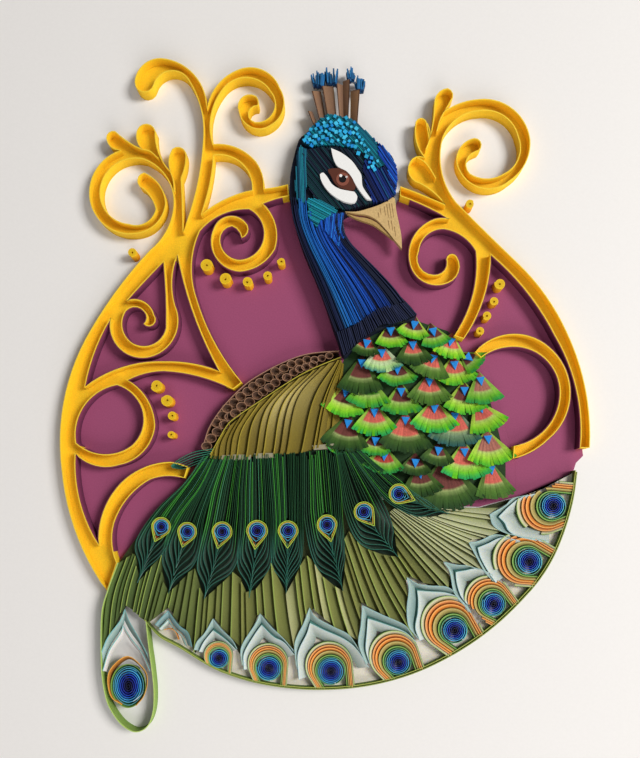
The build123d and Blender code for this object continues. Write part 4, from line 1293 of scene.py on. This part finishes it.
# %% Face
face = Heap()
crescents = [
    ([(331, 153), (341, 157.5), (351, 165), (357, 173), (361, 180), (362, 190), (366, 197), (371, 204)],
     [(371, 204), (366, 203), (360, 196), (355, 188.6), (351, 181), (346, 175.5), (341, 173), (336.7, 170),
      (333.4, 163.5), (331, 153)]),
    ([(320, 179), (323, 177), (327, 181), (332, 188.6), (339, 193), (347.6, 195), (354, 196)],
     [(354, 196), (357, 201), (354, 206.6), (348, 206.8), (340, 204), (331, 198), (324.7, 191), (321, 184),
      (320, 179)]),
]
almond = [
    (328, 174), (337, 172.6), (345, 174), (351, 179), (354.5, 187), (355, 192), (351, 194.6), (345, 193.5),
    (339, 191), (334, 186), (331, 180),
]
rounds = [
    ((342.5, 183.5), 6.5, 345, -1, 0.3, "#8a5040"), ((342.5, 183.5), 3.6, 340, -1, 0.45, "#120a0c"),
    ((340.6, 180.4), 1.6, 320, 0, 0.55, "#f2f0ee"), ((346.2, 181.6), 1.3, 320, 0, 0.55, "#cfc8c4"),
]
for above, below in crescents:
    outline = np.vstack([curve(above)[:-1], curve(below)[:-1]])
    plate(face, outline, neck_top - 1, neck_top + 0.35, "#f4f4f2")
plate(face, curve(almond, closed=True), neck_top - 1, neck_top + 0.15, "#5a2f22")
for centre, radius, turn, low, high, colour in rounds:
    plate(face, arc(centre, radius, 0, turn), neck_top + low, neck_top + high, colour)
face.make("face_cut_paper", smooth_paper, "white_paper", "eye_patches", "eye")

# %% [markdown]
# The beak is two pieces of painted card, the upper one over the lower one, with brush marks near the
# nostril.

# %% Beak
beak = Heap()
beak_low = rim_top - 0.8
halves = [
    ([(345, 213), (357, 213), (370, 209.5), (380, 206), (388, 202), (394, 199), (396, 212), (398.5, 224),
      (401, 237), (401.5, 250)],
     [(401.5, 250), (394, 241), (385, 230), (376, 221), (367, 216.5), (356, 215), (345, 213)],
     1.2, "#d0b078"),
    ([(347, 214.5), (357, 217.5), (367, 219), (376, 223), (384, 230.5), (393, 240.5)],
     [(393, 240.5), (383, 232.5), (373, 225.5), (362, 221.5), (354, 218.5), (347, 214.5)],
     0.6, "#b4955a"),
]
brush_marks = [
    (384, 208, 9), (386.5, 206, 13), (389, 205, 15), (391.5, 205, 14), (380, 210, 6), (388, 222, 8),
    (391, 222, 10), (394, 228, 10), (378, 214, 5),
]
for above, below, height, colour in halves:
    outline = np.vstack([curve(above, 2.5)[:-1], curve(below, 2.5)[:-1]])
    plate(beak, outline, beak_low, rim_top + height, colour)
for x, y, run in brush_marks:
    end = x + run * 0.12
    mark = [(x - 0.5, y), (x + 0.4, y), (end + 0.5, y + run), (end, y + run)]
    plate(beak, mark, rim_top + 1.1, rim_top + 1.24, "#96754a")
beak.make("beak_painted_card", gouache_paper, "tan_paper", "beak")

# %% [markdown]
# The crown has small squares of turquoise paper strewn on it, in four shades, each turned its own way.

# %% Squares on the crown
squares = Heap()
spots = [
    (307, 142), (309, 139), (313, 146), (315, 148), (316, 134), (318, 130), (320, 138), (322, 136),
    (325, 131), (327, 131), (331, 127), (333, 135), (336, 137), (331, 141), (339, 126), (341, 140),
    (344, 147), (347, 129), (349, 146), (350, 138), (356, 134), (352, 151), (355, 152), (359, 142),
    (358, 158), (364, 150), (365, 157), (369, 167), (373, 168), (374, 174), (311, 135), (323, 142),
    (328, 124), (335, 122), (343, 133), (346, 123), (354, 128), (337, 131), (326, 137), (319, 144),
    (308, 147), (312, 150), (338, 145), (346, 141), (361, 148), (356, 146), (371, 163), (368, 172),
    (316, 141), (330, 134), (305, 145), (321, 133), (324, 128), (332, 131), (336, 129), (341, 128),
    (345, 137), (351, 132), (353, 138), (357, 139), (362, 145), (348, 150), (344, 143), (332, 146),
    (327, 144), (322, 148), (314, 142), (310, 145), (366, 161), (372, 171), (377, 166), (368, 155),
    (340, 136), (329, 139),
]
shades = ["#2fb4ec", "#48c8f0", "#1f8fdc", "#2aa4d0"]
quarter_turns = np.arange(4) * math.pi / 2
for spot in spots:
    turn = random.uniform(0, math.pi) + quarter_turns
    size = random.uniform(1.2, 1.9) * 1.35
    shape = spot + size * np.stack([np.cos(turn), np.sin(turn)], 1)
    level = neck_top + random.uniform(0.0, 0.5)
    plate(squares, shape, level, level + 0.25, shades[random.integers(4)])
squares.make("crown_squares", gouache_paper, "turquoise_paper")

# %% [markdown]
# ## Crest
# The crest is a fan of brown strips that lean so far that their walls show, more at the top than at the
# bottom. Over them stand four tufts of blue fringe, each of short strips that spread from its root.

# %% Crest
crest, tufts = Heap(), Heap()
stems = [
    ((312, 91), (320, 122), (6.0, 9.0)), ((322, 86), (327.5, 117), (9.0, 11.5)),
    ((336.7, 83), (339.4, 119), (4.5, 6.0)), ((349.7, 79), (348, 120), (-4.5, -6.5)),
    ((359.6, 89), (357, 126), (-6.5, -8.5)), ((308, 111), (314, 126), (4.0, 4.5)),
]
for top, bottom, leans in stems:
    stem = curve([bottom, top])
    lean = np.linspace(*leans, len(stem))
    # the foot is painted darker than the wall, a painted shade
    strip(crest, stem, "#8c6a52", "#3a2418", "#664a38", lean=lean, base=rim_top - 1.6)
for x0, x1, y0, y1 in [(311, 326, 70, 86), (325, 339, 68, 84), (346, 356, 67, 80), (355, 365, 76, 90)]:
    middle_of_tuft = (x0 + x1) / 2
    for x in np.repeat(np.linspace(x0 + 1, x1 - 1, 9), 2):
        end = (x + random.uniform(-1.2, 1.2), y0 + random.uniform(0, 7))
        root = (middle_of_tuft + (x - middle_of_tuft) * 0.7, y1 - random.uniform(0, 3))
        # rims painted lighter than the walls, a painted highlight, over dark painted feet, a painted shade
        wall, rim = varied("#163868", 0.3), varied("#24689c", 0.45)
        lean = random.uniform(-0.6, 0.6)
        level = rim_top + random.uniform(-1.8, 0.5)
        strip(tufts, curve([root, end]), wall, rim, "#10284c", level, rim_top - 2.5, lean, 0.6)
crest.make("crest_stem_strips", quilling_paper, "crest_brown_paper", "crest_stems")
tufts.make("crest_blue_tufts", quilling_paper, "turquoise_paper", "crest_tufts")

# %% [markdown]
# ## Light and camera
# The picture was taken straight down, near a window: soft light from the right and above, with shadows
# that fall to the left. One soft lamp stands for the window. A larger, weaker one, low and below the
# picture, fills the walls that face the viewer, and the world does the rest. The world is brighter where
# the camera looks straight at it, which gives a pale background and no more light on the object. The
# camera stands over a point below the middle of the picture and is shifted, not tilted, so that the sheet
# stays square to it.

# %% Floor, lamps and camera
table_half, table_drop = 2, 0.5 * mm
table_sides = ((-1, -1), (1, -1), (1, 1), (-1, 1))
table_corners = [(x * table_half, y * table_half, -table_drop) for x, y in table_sides]
floor_mesh = bpy.data.meshes.new("table")
floor_mesh.from_pydata(table_corners, [], [(0, 1, 2, 3)])
floor = bpy.data.objects.new("table", floor_mesh)
bpy.context.scene.collection.objects.link(floor)
floor_mesh.materials.append(paper("pale table", "#e6e4e1", mottle=0.01, fibre_mm=3, bump=0.0))

world = bpy.data.worlds.new("soft room")
bpy.context.scene.world = world
world.use_nodes = True
sky = world.node_tree.nodes["Background"]
sky.inputs["Color"].default_value = (1.0, 0.985, 0.97, 1)
seen = node(world.node_tree, "ShaderNodeLightPath")
strength = node(world.node_tree, "ShaderNodeMapRange", [("Value", seen.outputs["Is Camera Ray"])])
strength.inputs["To Min"].default_value = 0.20
strength.inputs["To Max"].default_value = 0.85
world.node_tree.links.new(sky.inputs["Strength"], strength.outputs["Result"])


def lamp(name, at, toward, size, power, colour):
    """A soft square lamp at a place, turned towards another, all in metres."""
    data = bpy.data.lights.new(name, "AREA")
    data.size, data.energy, data.color = size, power, colour
    made = bpy.data.objects.new(name, data)
    made.location = at
    made.rotation_euler = (Vector(toward) - Vector(at)).to_track_quat("-Z", "Y").to_euler()
    bpy.context.scene.collection.objects.link(made)


lamp("window", (1.50, 0.32, 1.30), (0, 0, 0), 0.75, 36, (1.0, 0.98, 0.95))
lamp("low fill", (0.45, -1.5, 0.75), (0, 0, 0), 1.2, 16.0, (1.0, 0.97, 0.96))

# the camera stands over this place in the picture, at this height in mm above the rims
foot_x, foot_y, camera_height = 330, 505, 245
camera = bpy.data.cameras.new("camera")
camera.lens, camera.sensor_width = 25.85, 36.0
camera.shift_x, camera.shift_y = -0.0132, 0.166
eye_point = bpy.data.objects.new("camera", camera)
foot_xy = ((foot_x - middle_x) * pixel * mm, (middle_y - foot_y) * pixel * mm)
eye_point.location = (*foot_xy, (rim_top + camera_height) * mm)
bpy.context.scene.collection.objects.link(eye_point)
bpy.context.scene.camera = eye_point
bpy.context.scene.view_settings.view_transform = "Standard"
print("camera at", [round(v, 4) for v in eye_point.location])
